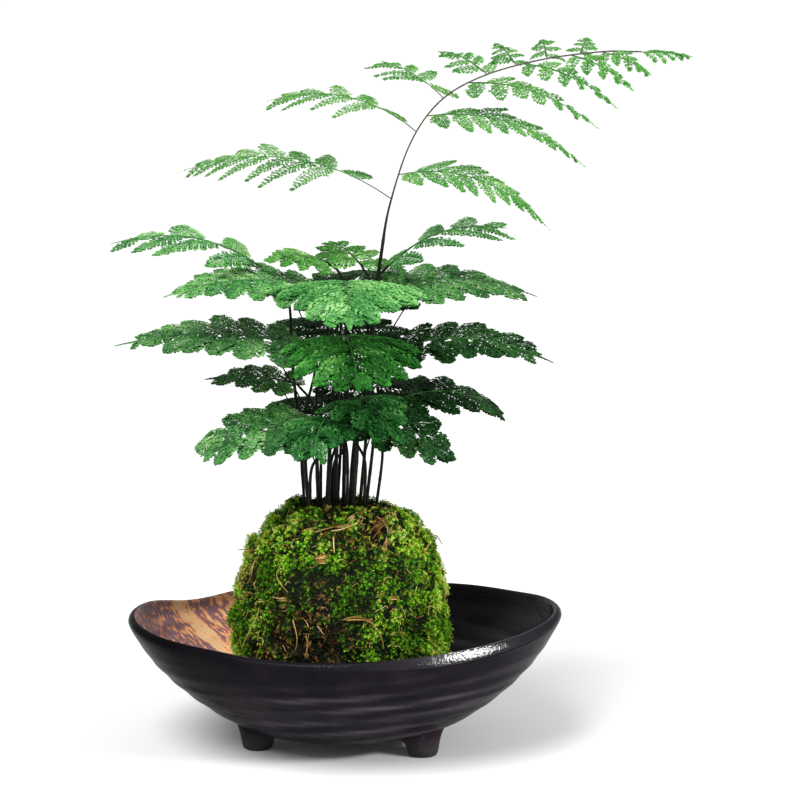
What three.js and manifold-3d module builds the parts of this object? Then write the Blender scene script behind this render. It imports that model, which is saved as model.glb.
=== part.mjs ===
// Asparagus fern (Asparagus setaceus) growing from a moss ball that sits in a footed stoneware dish.
//
// The dish is one fired piece: an oval, boat-shaped bowl on three stub feet. A soil ball wrapped in a moss
// cover rests in it. The cover is open at the crown, where the stems stand in plain holes in the soil.
// Each low stem carries one flat, twice-cut frond. One tall shoot arches over to +X, with leafy sprays
// on both sides and one at its tip.
//
// Millimetres, +Z up, +Y away from the front. The layout below is written round the dish's own axis, with
// the table at z = 0, and the finished group is then centred on its bounding box in X and Y.
import * as THREE from 'three';
import { mergeVertices } from 'three/addons/utils/BufferGeometryUtils.js';
import Module from 'manifold-3d';

const wasm = await Module();
wasm.setup();

// ---------- driving dimensions ----------

const DISH = {
  halfLong: 106.5, // outer half length along X
  halfShort: 88.5, // outer half width along Y
  underside: 7, // height of the underside over the table
  floor: 12.5, // height of the flat floor inside
  rim: 65, // mean height of the rim
  segments: 36,
};
const FEET = { angles: [195, 328, 80], circle: 45, top: 12, base: 6.4, sides: 12 };
const BALL = {
  x: -1.8, // the ball sits a little to the left of the dish's axis
  radius: 54, // of the moss, at its widest
  bottom: DISH.floor + 0.35,
  widest: 58, // height of the widest part
  top: 120,
  fullness: 2.75, // superellipse power: 2 is an ellipse, more is squarer
  cover: 6.5, // thickness of the moss
  fit: 0.4, // air between the moss and the soil
  crownOpening: [23, 15], // half length and half width of the hole in the moss round the stems
};
const STEM = {
  depth: 13, // how deep the foot stands in the soil
  holeFit: 0.35, // air round the foot
  tip: 0.6, // radius where the frond starts
  sides: 5,
  steps: 5,
};
const LEAF = {
  thickness: 0.8,
  rib: 0.75, // half width of the rib where the frond starts
  ribTip: 0.45, // and at its tip
  longest: 11, // how far apart the leaflets of a twig may be
  gap: 0.55, // air between a stem and its frond
};

// Each low stem and its frond: where the stem leaves the soil [x, y], where the frond starts and where its
// tip is [x, y, z], half its width, the turn of the blade about its rib in degrees (positive lowers the
// side that is nearer the front), how far the rib rises over its chord, how far the side twigs sag,
// side twigs per side and leaflets per side of a twig.
const FRONDS = [
  { name: 'front_low_left', foot: [-17, -9], from: [-15, -15, 163], tip: [-68, -42, 152],
    half: 27, turn: 16, rise: 6, sag: 5, twigs: 6, leaflets: 2, stem: 1.0 },
  { name: 'front_low_centre', foot: [-8, -11], from: [-5, -17, 166], tip: [-14, -66, 156],
    half: 25, turn: 0, rise: 8, sag: 6, twigs: 5, leaflets: 2, stem: 0.9 },
  { name: 'front_low_inner', foot: [1, -10], from: [2, -14, 175], tip: [24, -58, 164],
    half: 23, turn: 4, rise: 7, sag: 5, twigs: 5, leaflets: 2, stem: 0.9 },
  { name: 'front_low_right', foot: [9, -8], from: [12, -13, 166], tip: [48, -44, 151],
    half: 24, turn: 12, rise: 6, sag: 6, twigs: 5, leaflets: 2, stem: 0.9 },
  { name: 'right_low', foot: [15, -2], from: [24, 2, 172], tip: [78, 14, 164],
    half: 28, turn: 10, rise: 8, sag: 4, twigs: 6, leaflets: 2, stem: 0.9 },
  { name: 'left_mid_low', foot: [-20, 2], from: [-24, 3, 180], tip: [-68, 0, 183],
    half: 19, turn: 9, rise: 3, sag: 3, twigs: 5, leaflets: 1, stem: 0.8 },
  { name: 'left_mid', foot: [-18, -3], from: [-23, -7, 201], tip: [-110, -26, 203],
    half: 33, turn: 8, rise: 6, sag: 4, twigs: 7, leaflets: 2, stem: 1.0 },
  { name: 'centre_mid', foot: [-5, -6], from: [-1, -13, 206], tip: [8, -80, 189],
    half: 45, turn: 0, rise: 8, sag: 9, twigs: 6, leaflets: 3, stem: 1.2 },
  { name: 'back_mid', foot: [-1, 9], from: [1, 15, 200], tip: [-12, 90, 201],
    half: 42, turn: 0, rise: 6, sag: 5, twigs: 6, leaflets: 2, stem: 1.0 },
  { name: 'right_mid', foot: [10, -3], from: [22, -4, 198], tip: [101, -20, 194],
    half: 32, turn: 9, rise: 9, sag: 4, twigs: 7, leaflets: 2, stem: 1.0 },
  { name: 'high_left', foot: [-13, -5], from: [-15, -6, 229], tip: [-86, -30, 227],
    half: 32, turn: 7, rise: 6, sag: 5, twigs: 7, leaflets: 2, stem: 1.1 },
  { name: 'high_front', foot: [-9, -7], from: [0, -10, 231], tip: [4, -88, 219],
    half: 44, turn: 0, rise: 9, sag: 7, twigs: 6, leaflets: 3, stem: 1.2 },
  { name: 'high_right', foot: [7, 3], from: [20, 4, 227], tip: [95, 22, 221],
    half: 34, turn: 8, rise: 7, sag: 4, twigs: 7, leaflets: 2, stem: 1.0 },
  { name: 'top_left', foot: [-18, 6], from: [-36, 10, 233], tip: [-113, -6, 250],
    half: 30, turn: 9, rise: 11, sag: 3, twigs: 6, leaflets: 2, stem: 1.1 },
  { name: 'top_centre_left', foot: [-12, 1], from: [-9, 5, 240], tip: [-38, -12, 243],
    half: 19, turn: 9, rise: 3, sag: 3, twigs: 4, leaflets: 1, stem: 0.7 },
  { name: 'top_centre_right', foot: [-4, 2], from: [8, 9, 238], tip: [-8, 38, 247],
    half: 20, turn: 0, rise: 2, sag: 3, twigs: 4, leaflets: 1, stem: 0.8 },
  { name: 'top_right', foot: [7, 8], from: [22, 9, 238], tip: [79, 2, 257],
    half: 30, turn: 8, rise: 8, sag: 3, twigs: 6, leaflets: 2, stem: 0.9 },
  { name: 'back_low', foot: [-7, 8], from: [-4, 15, 159], tip: [-28, 76, 158],
    half: 34, turn: 0, rise: 8, sag: 6, twigs: 5, leaflets: 2, stem: 1.0 },
  { name: 'back_low_right', foot: [4, 11], from: [9, 17, 170], tip: [34, 82, 166],
    half: 34, turn: 0, rise: 8, sag: 6, twigs: 5, leaflets: 2, stem: 1.0 },
  { name: 'back_high', foot: [-1, 5], from: [2, 14, 222], tip: [16, 92, 224],
    half: 40, turn: 0, rise: 6, sag: 6, twigs: 6, leaflets: 2, stem: 1.1 },
];

// The tall shoot's stem, from inside the soil to the start of the spray at its tip.
const TALL = {
  foot: [3, -1],
  path: [[5, -1, 150], [10, -1, 175], [13, 0, 200], [15, 1, 222], [18, 1, 245], [22, 1, 268], [32, 1, 298],
    [46, 0, 318], [66, 0, 330], [94, 0, 338], [124, 0, 342], [143, 0, 342]],
  baseRadius: 1.7,
  neckRadius: 1.1, // where the first spray leaves it
  tipRadius: 0.45,
  steps: 26,
};
// Its sprays: where on the stem they leave it, and where their tips are [x, y, z].
const SPRAYS = [
  { name: 'tall_left_1', from: [23, 1, 272], tip: [-80, -14, 285], half: 24, turn: 11, rise: 14, twigs: 7 },
  { name: 'tall_left_2', from: [35, 1, 303], tip: [-37, -10, 319], half: 19, turn: 10, rise: 10, twigs: 5 },
  { name: 'tall_left_3', from: [49, 0, 320], tip: [18, 18, 337], half: 14, turn: 10, rise: 3, twigs: 4 },
  { name: 'tall_right_1', from: [27, 1, 284], tip: [99, -22, 258], half: 22, turn: 13, rise: 12, twigs: 6 },
  { name: 'tall_right_2', from: [40, 0, 311], tip: [116, -26, 288],
    half: 18, turn: 13, rise: 10, twigs: 6 },
  { name: 'tall_near_1', from: [60, 0, 327], tip: [121, -30, 307], half: 13, turn: 13, rise: 7, twigs: 5 },
  { name: 'tall_near_2', from: [88, 0, 336], tip: [129, -34, 317], half: 10, turn: 13, rise: 5, twigs: 4 },
  { name: 'tall_near_3', from: [108, 0, 340], tip: [137, -28, 325], half: 9, turn: 13, rise: 3, twigs: 3 },
  { name: 'tall_near_4', from: [124, 0, 342], tip: [146, -20, 332], half: 8, turn: 13, rise: 2, twigs: 3 },
  { name: 'tall_far_1', from: [70, 0, 331], tip: [46, 36, 341], half: 13, turn: 10, rise: 3, twigs: 4 },
  { name: 'tall_far_2', from: [84, 0, 335], tip: [74, 38, 345], half: 10, turn: 8, rise: 2, twigs: 4 },
  { name: 'tall_far_3', from: [98, 0, 339], tip: [97, 34, 347], half: 10, turn: 8, rise: 2, twigs: 3 },
  { name: 'tall_far_4', from: [114, 0, 341], tip: [119, 28, 348], half: 9, turn: 8, rise: 1, twigs: 3 },
  { name: 'tall_tip', from: [143, 0, 342], tip: [167, 0, 340], half: 8, turn: 12, rise: 1, twigs: 4 },
];

// ---------- materials ----------

const paint = (hex, roughness) => new THREE.MeshStandardMaterial({ color: hex, roughness, metalness: 0 });
const STONEWARE = paint('#2b282c', 0.45);
const MOSS = paint('#4c6b1c', 0.95);
const SOIL = paint('#3a2a1d', 1);
const STEM_BARK = paint('#1c2018', 0.6);
const GREEN_LIT = paint('#5fa352', 0.6);
const GREEN_DEEP = paint('#2f5a2e', 0.65);
const GREEN_YOUNG = paint('#7fb866', 0.6);

// ---------- shared helpers ----------

const radians = THREE.MathUtils.degToRad;
const lerp = THREE.MathUtils.lerp;
const smooth = THREE.MathUtils.smoothstep;
const vector = (p) => new THREE.Vector3(...p);

// A closed manifold solid from a three.js geometry.
function solidOf(geometry) {
  const bare = geometry.clone();
  bare.deleteAttribute('normal');
  bare.deleteAttribute('uv');
  const merged = mergeVertices(bare, 1e-4);
  return new wasm.Manifold(new wasm.Mesh({
    numProp: 3,
    vertProperties: Float32Array.from(merged.attributes.position.array),
    triVerts: Uint32Array.from(merged.index.array),
  }));
}

// A three.js geometry from a manifold solid.
function geometryOf(solid) {
  const mesh = solid.getMesh();
  const geometry = new THREE.BufferGeometry();
  geometry.setAttribute('position', new THREE.BufferAttribute(Float32Array.from(mesh.vertProperties), 3));
  geometry.setIndex(Array.from(mesh.triVerts));
  geometry.computeVertexNormals();
  return geometry;
}

// A piece turned about +Z from [radius, height] points that start and end on the axis, going outwards first
// along the bottom. THREE turns about Y, so the result is stood up.
function turned(points, segments) {
  const profile = points.map(([r, z]) => new THREE.Vector2(r, z));
  return new THREE.LatheGeometry(profile, segments).rotateX(Math.PI / 2);
}

// A stem with round ends cut square: rings of the given radius along a curve, closed by a cap at each end.
function taperedStem(curve, radiusAt, steps, sides) {
  const frames = curve.computeFrenetFrames(steps, false);
  const position = [];
  for (let i = 0; i <= steps; i++) {
    const centre = curve.getPointAt(i / steps);
    const radius = radiusAt(i / steps);
    for (let k = 0; k < sides; k++) {
      const angle = (2 * Math.PI * k) / sides;
      const point = centre.clone()
        .addScaledVector(frames.normals[i], radius * Math.cos(angle))
        .addScaledVector(frames.binormals[i], radius * Math.sin(angle));
      position.push(point.x, point.y, point.z);
    }
  }
  const index = [];
  for (let i = 0; i < steps; i++) {
    for (let k = 0; k < sides; k++) {
      const a = i * sides + k;
      const b = i * sides + ((k + 1) % sides);
      index.push(a, b, b + sides, a, b + sides, a + sides);
    }
  }
  for (let k = 1; k < sides - 1; k++) {
    index.push(0, k + 1, k);
    index.push(steps * sides, steps * sides + k, steps * sides + k + 1);
  }
  const geometry = new THREE.BufferGeometry();
  geometry.setAttribute('position', new THREE.Float32BufferAttribute(position, 3));
  geometry.setIndex(index);
  geometry.computeVertexNormals();
  return geometry;
}

// ---------- dish ----------

// A smooth bump of height 1 round an angle in degrees.
function bump(angle, centre, width) {
  return Math.exp(-(((THREE.MathUtils.radToDeg(angle) - centre) / width) ** 2));
}

// Lift of the rim at an angle from +X: the ends are drawn up, the right one more, the sides are low, the far
// left dips, and the near left has a slight wave.
function rimLift(angle) {
  return 2.8 * Math.cos(2 * angle) + 1.3 * Math.cos(angle) - 5 * bump(angle, 138, 17)
    - 1.2 * bump(angle, 34, 15) + 0.9 * bump(angle, 232, 12);
}

// Outline of the dish seen from above, as a share of its half axes: fuller on the left, with a soft pinch at
// the near left.
function planShare(angle) {
  return 1.007 - 0.007 * Math.cos(angle) + 0.006 * Math.cos(3 * angle + 0.6) - 0.012 * bump(angle, 232, 16);
}

function dishBody() {
  const spline = (points) => new THREE.SplineCurve(points.map(([r, z]) => new THREE.Vector2(r, z)));
  const outer = spline([[33, DISH.underside], [42, 8], [53, 11.5], [68.5, 20.5], [84.5, 33], [96.5, 45.5],
    [104, 57], [DISH.halfLong, DISH.rim - 2]]);
  const inner = spline([[102.3, DISH.rim - 1.8], [99, 56], [91, 45.5], [78.5, 34.5], [62, 23.5], [48, 16.3],
    [37, 13.2], [28, DISH.floor]]);
  const profile = [[0, DISH.underside], ...outer.getSpacedPoints(7).map((p) => [p.x, p.y]),
    [105.6, DISH.rim - 0.4], [103.9, DISH.rim],
    ...inner.getSpacedPoints(6).map((p) => [p.x, p.y]), [0, DISH.floor]];
  const geometry = turned(profile, DISH.segments);
  const point = geometry.attributes.position;
  for (let i = 0; i < point.count; i++) {
    const angle = (Math.atan2(point.getY(i), point.getX(i)) + 2 * Math.PI) % (2 * Math.PI);
    const high = smooth(point.getZ(i), 18, DISH.rim);
    const share = lerp(1, planShare(angle), high);
    point.setXYZ(i, point.getX(i) * share, point.getY(i) * share * (DISH.halfShort / DISH.halfLong),
      point.getZ(i) + rimLift(angle) * high);
  }
  return geometry;
}

function footGeometry() {
  const { base, top, sides } = FEET;
  const flare = [[base, 0], [base + 1.3, 1.1], [base + 2.2, 4.5], [base + 3.9, top]];
  return turned([[0, 0], ...flare, [0, top]], sides);
}

function dishGeometry() {
  let solid = solidOf(dishBody());
  for (const degrees of FEET.angles) {
    const x = FEET.circle * Math.cos(radians(degrees));
    const y = FEET.circle * Math.sin(radians(degrees));
    solid = solid.add(solidOf(footGeometry().translate(x, y, 0)));
  }
  return geometryOf(solid);
}

// ---------- moss ball ----------

// Profile of the ball with its surface moved inwards: a superellipse above and below its widest part, with a
// flat spot underneath.
function ballProfile(inset, rows) {
  const low = BALL.bottom + inset;
  const high = BALL.top - inset;
  const points = [[0, low]];
  for (let i = 1; i <= rows; i++) {
    const turn = lerp(-1, 1, i / rows) * (Math.PI / 2);
    const reach = (BALL.radius - inset) * Math.cos(turn) ** (2 / BALL.fullness);
    const rise = Math.sign(turn) * Math.abs(Math.sin(turn)) ** (2 / BALL.fullness);
    const half = turn < 0 ? BALL.widest - low : high - BALL.widest;
    points.push(i === rows ? [0, high] : [reach, i === 1 ? low : BALL.widest + rise * half]);
  }
  return points;
}

// Cushions of moss: overlapping waves round the ball, in millimetres.
function mossRelief(direction) {
  const { x, y, z } = direction;
  return 1.1 * Math.sin(5.1 * x + 3.3 * z + 1) * Math.cos(4.3 * y - 2.2 * z)
    + 0.7 * Math.sin(9.7 * y + 6.1 * x + 2) * Math.sin(8.3 * z + 0.5);
}

function mossGeometry() {
  const outer = turned(ballProfile(0, 10), 26).translate(BALL.x, 0, 0);
  const point = outer.attributes.position;
  for (let i = 0; i < point.count; i++) {
    const place = new THREE.Vector3().fromBufferAttribute(point, i);
    if (place.z < BALL.bottom + 0.01) continue;
    const direction = place.clone().sub(new THREE.Vector3(BALL.x, 0, BALL.widest)).normalize();
    const relief = mossRelief(direction) * smooth(place.z, BALL.bottom, BALL.bottom + 14);
    place.addScaledVector(direction, relief);
    point.setXYZ(i, place.x, place.y, place.z);
  }
  const hollow = turned(ballProfile(BALL.cover - BALL.fit, 7), 18).translate(BALL.x, 0, 0);
  const opening = new THREE.CylinderGeometry(1, 1, 40, 16)
    .rotateX(Math.PI / 2).scale(...BALL.crownOpening, 1).translate(BALL.x, 0, BALL.top);
  return geometryOf(solidOf(outer).subtract(solidOf(hollow)).subtract(solidOf(opening)));
}

// The soil ball, with a plain hole for each stem.
function soilGeometry(stems) {
  let solid = solidOf(turned(ballProfile(BALL.cover, 7), 18).translate(BALL.x, 0, 0));
  for (const { foot, bottom, radius } of stems) {
    const height = 60; // reaches well above the soil
    const wide = radius + STEM.holeFit;
    const hole = new THREE.CylinderGeometry(wide, wide, height, STEM.sides)
      .rotateX(Math.PI / 2).translate(foot[0], foot[1], bottom - STEM.holeFit + height / 2);
    solid = solid.subtract(solidOf(hole));
  }
  return geometryOf(solid);
}

// ---------- fronds ----------

// Outline of one side twig, from its lower root to its upper root, in [along, across]: leaflets in pairs
// slant forwards from the twig, and one ends it.
function twigOutline(pitch, pairs, spread) {
  const side = [];
  for (let k = 0; k < pairs; k++) {
    const reach = spread * (1 - 0.3 * (k / pairs) ** 2);
    side.push([pitch * (k + 0.62), reach], [pitch * (k + 1), 0.36 * reach]);
  }
  const mirrored = side.map(([along, across]) => [along, -across]);
  return [...mirrored, [pitch * (pairs + 0.6), 0], ...side.reverse()];
}

// A frond as one thin arched sheet, cut to the rib into side twigs and leaflets. Its rib runs along +X from
// the origin, and the sheet's upper side faces +Z.
function frondGeometry({ length, half, rise, sag, twigs, leaflets }) {
  const plan = [];
  const faces = [];
  const add = (x, y) => plan.push([x, y]) - 1;
  const ribHalf = (x) => lerp(LEAF.rib, LEAF.ribTip, x / length);
  const edges = { '-1': [add(0, -ribHalf(0))], 1: [add(0, ribHalf(0))] };
  const bare = 0.16 * length;
  const step = (0.94 * length - bare) / twigs;
  for (const side of [-1, 1]) {
    for (let i = 0; i < twigs; i++) {
      const at = bare + step * (i + (side > 0 ? 0.5 : 0));
      const share = (at - bare) / (length - bare);
      const lean = radians(lerp(64, 36, share));
      const reach = (half * (1 - share) ** 0.72 * lerp(0.86, 1, smooth(share, 0, 0.18))) / Math.sin(lean);
      const root = Math.min(0.6, step * 0.2);
      const first = add(at - root, side * ribHalf(at));
      const count = THREE.MathUtils.clamp(Math.round(reach / LEAF.longest), 1, leaflets);
      const pitch = reach / (count + 0.6);
      const spread = Math.min(0.56 * step * Math.sin(lean), 0.4 * reach, 0.5 * pitch * Math.tan(lean));
      const outline = twigOutline(pitch, count, spread);
      const loop = [first];
      for (const [along, across] of outline) {
        const x = at + along * Math.cos(lean) + across * Math.sin(lean);
        const y = along * Math.sin(lean) - across * Math.cos(lean);
        loop.push(add(x, side * (ribHalf(at) + y)));
      }
      loop.push(add(at + root, side * ribHalf(at)));
      edges[side].push(first, loop.at(-1));
      const ring = loop.map((n) => new THREE.Vector2(...plan[n]));
      const corners = THREE.ShapeUtils.triangulateShape(ring, []);
      faces.push(...corners.map((corner) => corner.map((n) => loop[n])));
    }
  }
  const tip = add(length, 0);
  const left = [...edges[1], tip];
  const right = [...edges['-1'], tip];
  for (let i = 0, k = 0; i < left.length - 1 || k < right.length - 1;) {
    const leftIsNext = () => i < left.length - 1 && plan[left[i + 1]][0] <= plan[right[k + 1]][0];
    const goLeft = k === right.length - 1 || leftIsNext();
    const next = goLeft ? left[i + 1] : right[k + 1];
    if (next !== (goLeft ? right[k] : left[i])) faces.push([left[i], right[k], next]);
    if (goLeft) i++;
    else k++;
  }
  return sheet(plan, faces, LEAF.thickness, (x, y) => {
    const share = x / length;
    return rise * 4 * share * (1 - share) - sag * (y / half) ** 2;
  });
}

// A closed sheet of even thickness over a plan of triangles, bent by a height function.
function sheet(plan, faces, thickness, height) {
  const position = [];
  for (const lift of [thickness / 2, -thickness / 2]) {
    for (const [x, y] of plan) position.push(x, y, height(x, y) + lift);
  }
  const index = [];
  const borders = new Map();
  const below = plan.length;
  for (let [a, b, c] of faces) {
    const area = (plan[b][0] - plan[a][0]) * (plan[c][1] - plan[a][1])
      - (plan[b][1] - plan[a][1]) * (plan[c][0] - plan[a][0]);
    if (area < 0) [b, c] = [c, b];
    index.push(a, b, c, a + below, c + below, b + below);
    for (const [p, q] of [[a, b], [b, c], [c, a]]) {
      if (!borders.delete(`${q},${p}`)) borders.set(`${p},${q}`, [p, q]);
    }
  }
  for (const [p, q] of borders.values()) index.push(p, p + below, q + below, p, q + below, q);
  const geometry = new THREE.BufferGeometry();
  geometry.setAttribute('position', new THREE.Float32BufferAttribute(position, 3));
  geometry.setIndex(index);
  geometry.computeVertexNormals();
  return geometry;
}

// A frond set in place: its rib from one point to the other, its blade level across and then turned.
function placedFrond(name, material, { from, tip, half, turn, rise, sag = 3, twigs, leaflets = 1 }) {
  const start = vector(from);
  const chord = vector(tip).sub(start);
  const geometry = frondGeometry({ length: chord.length(), half, rise, sag, twigs, leaflets });
  const along = chord.clone().normalize();
  const across = new THREE.Vector3(0, 0, 1).cross(along).normalize();
  const up = along.clone().cross(across);
  const mesh = new THREE.Mesh(geometry, material);
  mesh.name = name;
  mesh.quaternion.setFromRotationMatrix(new THREE.Matrix4().makeBasis(along, across, up));
  mesh.rotateX(radians(along.x < 0 ? -turn : turn));
  mesh.position.copy(start);
  return mesh;
}

// ---------- assembly ----------

const plant = new THREE.Group();

function put(name, geometry, material) {
  const mesh = new THREE.Mesh(geometry, material);
  mesh.name = name;
  plant.add(mesh);
  return mesh;
}

// Fronds on the right and at the back are older and darker.
const isShaded = ({ tip }) => tip[0] > 40 || tip[1] > 60;

const soilTop = BALL.top - BALL.cover;
const stemBottom = soilTop - STEM.depth;
const holes = [];

for (const frond of FRONDS) {
  const start = vector(frond.from);
  const away = vector(frond.tip).sub(start).setZ(0).normalize();
  const end = start.clone().addScaledVector(vector(frond.tip).sub(start).normalize(), -LEAF.gap);
  const curve = new THREE.CatmullRomCurve3([
    new THREE.Vector3(frond.foot[0], frond.foot[1], stemBottom),
    new THREE.Vector3(frond.foot[0], frond.foot[1], soilTop + 3),
    new THREE.Vector3(
      lerp(frond.foot[0], end.x, 0.4),
      lerp(frond.foot[1], end.y, 0.4),
      lerp(soilTop, end.z, 0.55),
    ),
    new THREE.Vector3(end.x - 3 * away.x, end.y - 3 * away.y, end.z - 6),
    end,
  ]);
  const radiusAt = (t) => lerp(frond.stem, STEM.tip, t);
  put(`stem_${frond.name}`, taperedStem(curve, radiusAt, STEM.steps, STEM.sides), STEM_BARK);
  holes.push({ foot: frond.foot, bottom: stemBottom, radius: frond.stem });
  plant.add(placedFrond(`frond_${frond.name}`, isShaded(frond) ? GREEN_DEEP : GREEN_LIT, frond));
}

const tallCurve = new THREE.CatmullRomCurve3([
  new THREE.Vector3(TALL.foot[0], TALL.foot[1], stemBottom),
  new THREE.Vector3(TALL.foot[0], TALL.foot[1], soilTop + 4),
  ...TALL.path.map(vector),
]);
const tallRadius = (t) => lerp(lerp(TALL.baseRadius, TALL.neckRadius, Math.min(1, t / 0.48)),
  TALL.tipRadius, smooth(t, 0.46, 0.62));
put('stem_tall', taperedStem(tallCurve, tallRadius, TALL.steps, STEM.sides), STEM_BARK);
holes.push({ foot: TALL.foot, bottom: stemBottom, radius: TALL.baseRadius });

// Each spray starts just off the tall stem, at the point of the stem nearest to its stated start. The one at
// the tip carries the stem on.
const TALL_SAMPLES = 400;
const tallPoints = tallCurve.getSpacedPoints(TALL_SAMPLES);
for (const spray of SPRAYS) {
  const wanted = vector(spray.from);
  const aim = vector(spray.tip).sub(wanted).normalize();
  const nearest = tallPoints.reduce((best, p, i) =>
    (p.distanceTo(wanted) < tallPoints[best].distanceTo(wanted) ? i : best), 0);
  const t = nearest / TALL_SAMPLES;
  const slant = Math.sqrt(1 - tallCurve.getTangentAt(t).dot(aim) ** 2);
  const besideStem = (tallRadius(t) + LEAF.rib * (1 - slant) + 0.35) / Math.max(slant, 0.5);
  const clear = nearest === TALL_SAMPLES ? 0.35 : besideStem;
  const from = tallPoints[nearest].clone().addScaledVector(aim, clear).toArray();
  plant.add(placedFrond(`spray_${spray.name}`, GREEN_YOUNG, { ...spray, from }));
}

put('dish', dishGeometry(), STONEWARE);
put('moss_cover', mossGeometry(), MOSS);
put('soil_ball', soilGeometry(holes), SOIL);

plant.updateMatrixWorld(true);
const box = new THREE.Box3().setFromObject(plant, true);
plant.position.set(-(box.min.x + box.max.x) / 2, -(box.min.y + box.max.y) / 2, 0);

export default plant;
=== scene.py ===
"""A potted asparagus fern: feathery fronds and one tall shoot on a moss ball, in a footed dish."""

import math
import random
from functools import partial

import bpy
import numpy as np
from mathutils import Matrix, Vector, noise


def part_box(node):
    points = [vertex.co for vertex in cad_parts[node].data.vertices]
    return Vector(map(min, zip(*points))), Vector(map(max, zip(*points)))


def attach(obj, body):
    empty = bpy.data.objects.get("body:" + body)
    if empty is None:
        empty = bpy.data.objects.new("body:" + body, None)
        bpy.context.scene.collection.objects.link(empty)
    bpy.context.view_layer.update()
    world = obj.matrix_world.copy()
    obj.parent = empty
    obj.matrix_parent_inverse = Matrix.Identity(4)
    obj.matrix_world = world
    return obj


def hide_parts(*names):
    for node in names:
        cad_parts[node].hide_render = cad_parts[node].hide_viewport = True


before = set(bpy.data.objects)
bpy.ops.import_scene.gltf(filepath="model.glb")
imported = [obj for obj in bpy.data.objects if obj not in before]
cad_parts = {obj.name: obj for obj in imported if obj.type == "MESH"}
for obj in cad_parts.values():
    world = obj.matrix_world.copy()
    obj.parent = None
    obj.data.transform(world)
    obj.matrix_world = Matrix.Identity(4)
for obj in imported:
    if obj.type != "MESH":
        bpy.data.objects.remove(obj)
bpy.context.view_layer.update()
scene = bpy.context.scene

MM = 0.001
random.seed(7)
noise.seed_set(7)  # without a seed of its own, noise_vector is offset by the clock
grain = np.random.default_rng(7)

# ---------- places and sizes, in millimetres round the dish's axis, from the table up ----------

BALL_X, BALL_WIDEST, BALL_TOP = -1.8, 58, 120
SOIL_TOP = BALL_TOP - 6.5
STEM_BOTTOM = SOIL_TOP - 13

# Walls and rim of the dish as distance from its axis and height, along its long half.
DISH_LONG, DISH_SHORT, DISH_RIM = 106.5, 88.5, 65
UNDERSIDE, INNER_FLOOR = 7, 12.5
OUTER_WALL = (
    (33, 7), (42, 8), (53, 11.5), (68.5, 20.5), (84.5, 33), (96.5, 45.5), (103.8, 56.5), (106.1, 60.8),
)
RIM = (
    (106.5, 62.0), (106.3, 63.0), (105.8, 63.8), (105.1, 64.4), (104.2, 64.85), (103.4, 64.9),
    (102.7, 64.4), (102.3, 63.5),
)
INNER_WALL = (
    (102.0, 62), (99, 56), (91, 45.5), (78.5, 34.5), (62, 23.5), (48, 16.3), (37, 13.2), (28, 12.5),
)
# The inside's glaze ends this far from the axis; the throwing ridges are this far apart.
GLAZE_EDGE, RIDGE_PITCH = 104.6, 8.2
# Where the lip is pressed down, and where its glaze has run together: middle and width in degrees.
LIP_PRESSED, LIP_WET = (301, 25), (303, 24)
FOOT_ANGLES, FOOT_CIRCLE, FOOT_JOIN, FOOT_TOP = (195, 328, 80), 45, 8.8, 11.6
FOOT = ((6.0, 0), (6.9, 0.4), (7.5, 1.6), (8.1, 4.0), (9.0, 6.4), (10.8, FOOT_JOIN), (14.0, FOOT_TOP))
DISH_STEPS, FOOT_STEPS = 160, 40
BED_VOXEL = 1.6

RIB_POINTS, RIB_SIDES, STEM_SIDES, FORK_SIDES, GRASS_SIDES = 14, 5, 12, 8, 5
RIB_RADIUS, YOUNG_RIB_RADIUS = 0.55, 0.30

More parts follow.
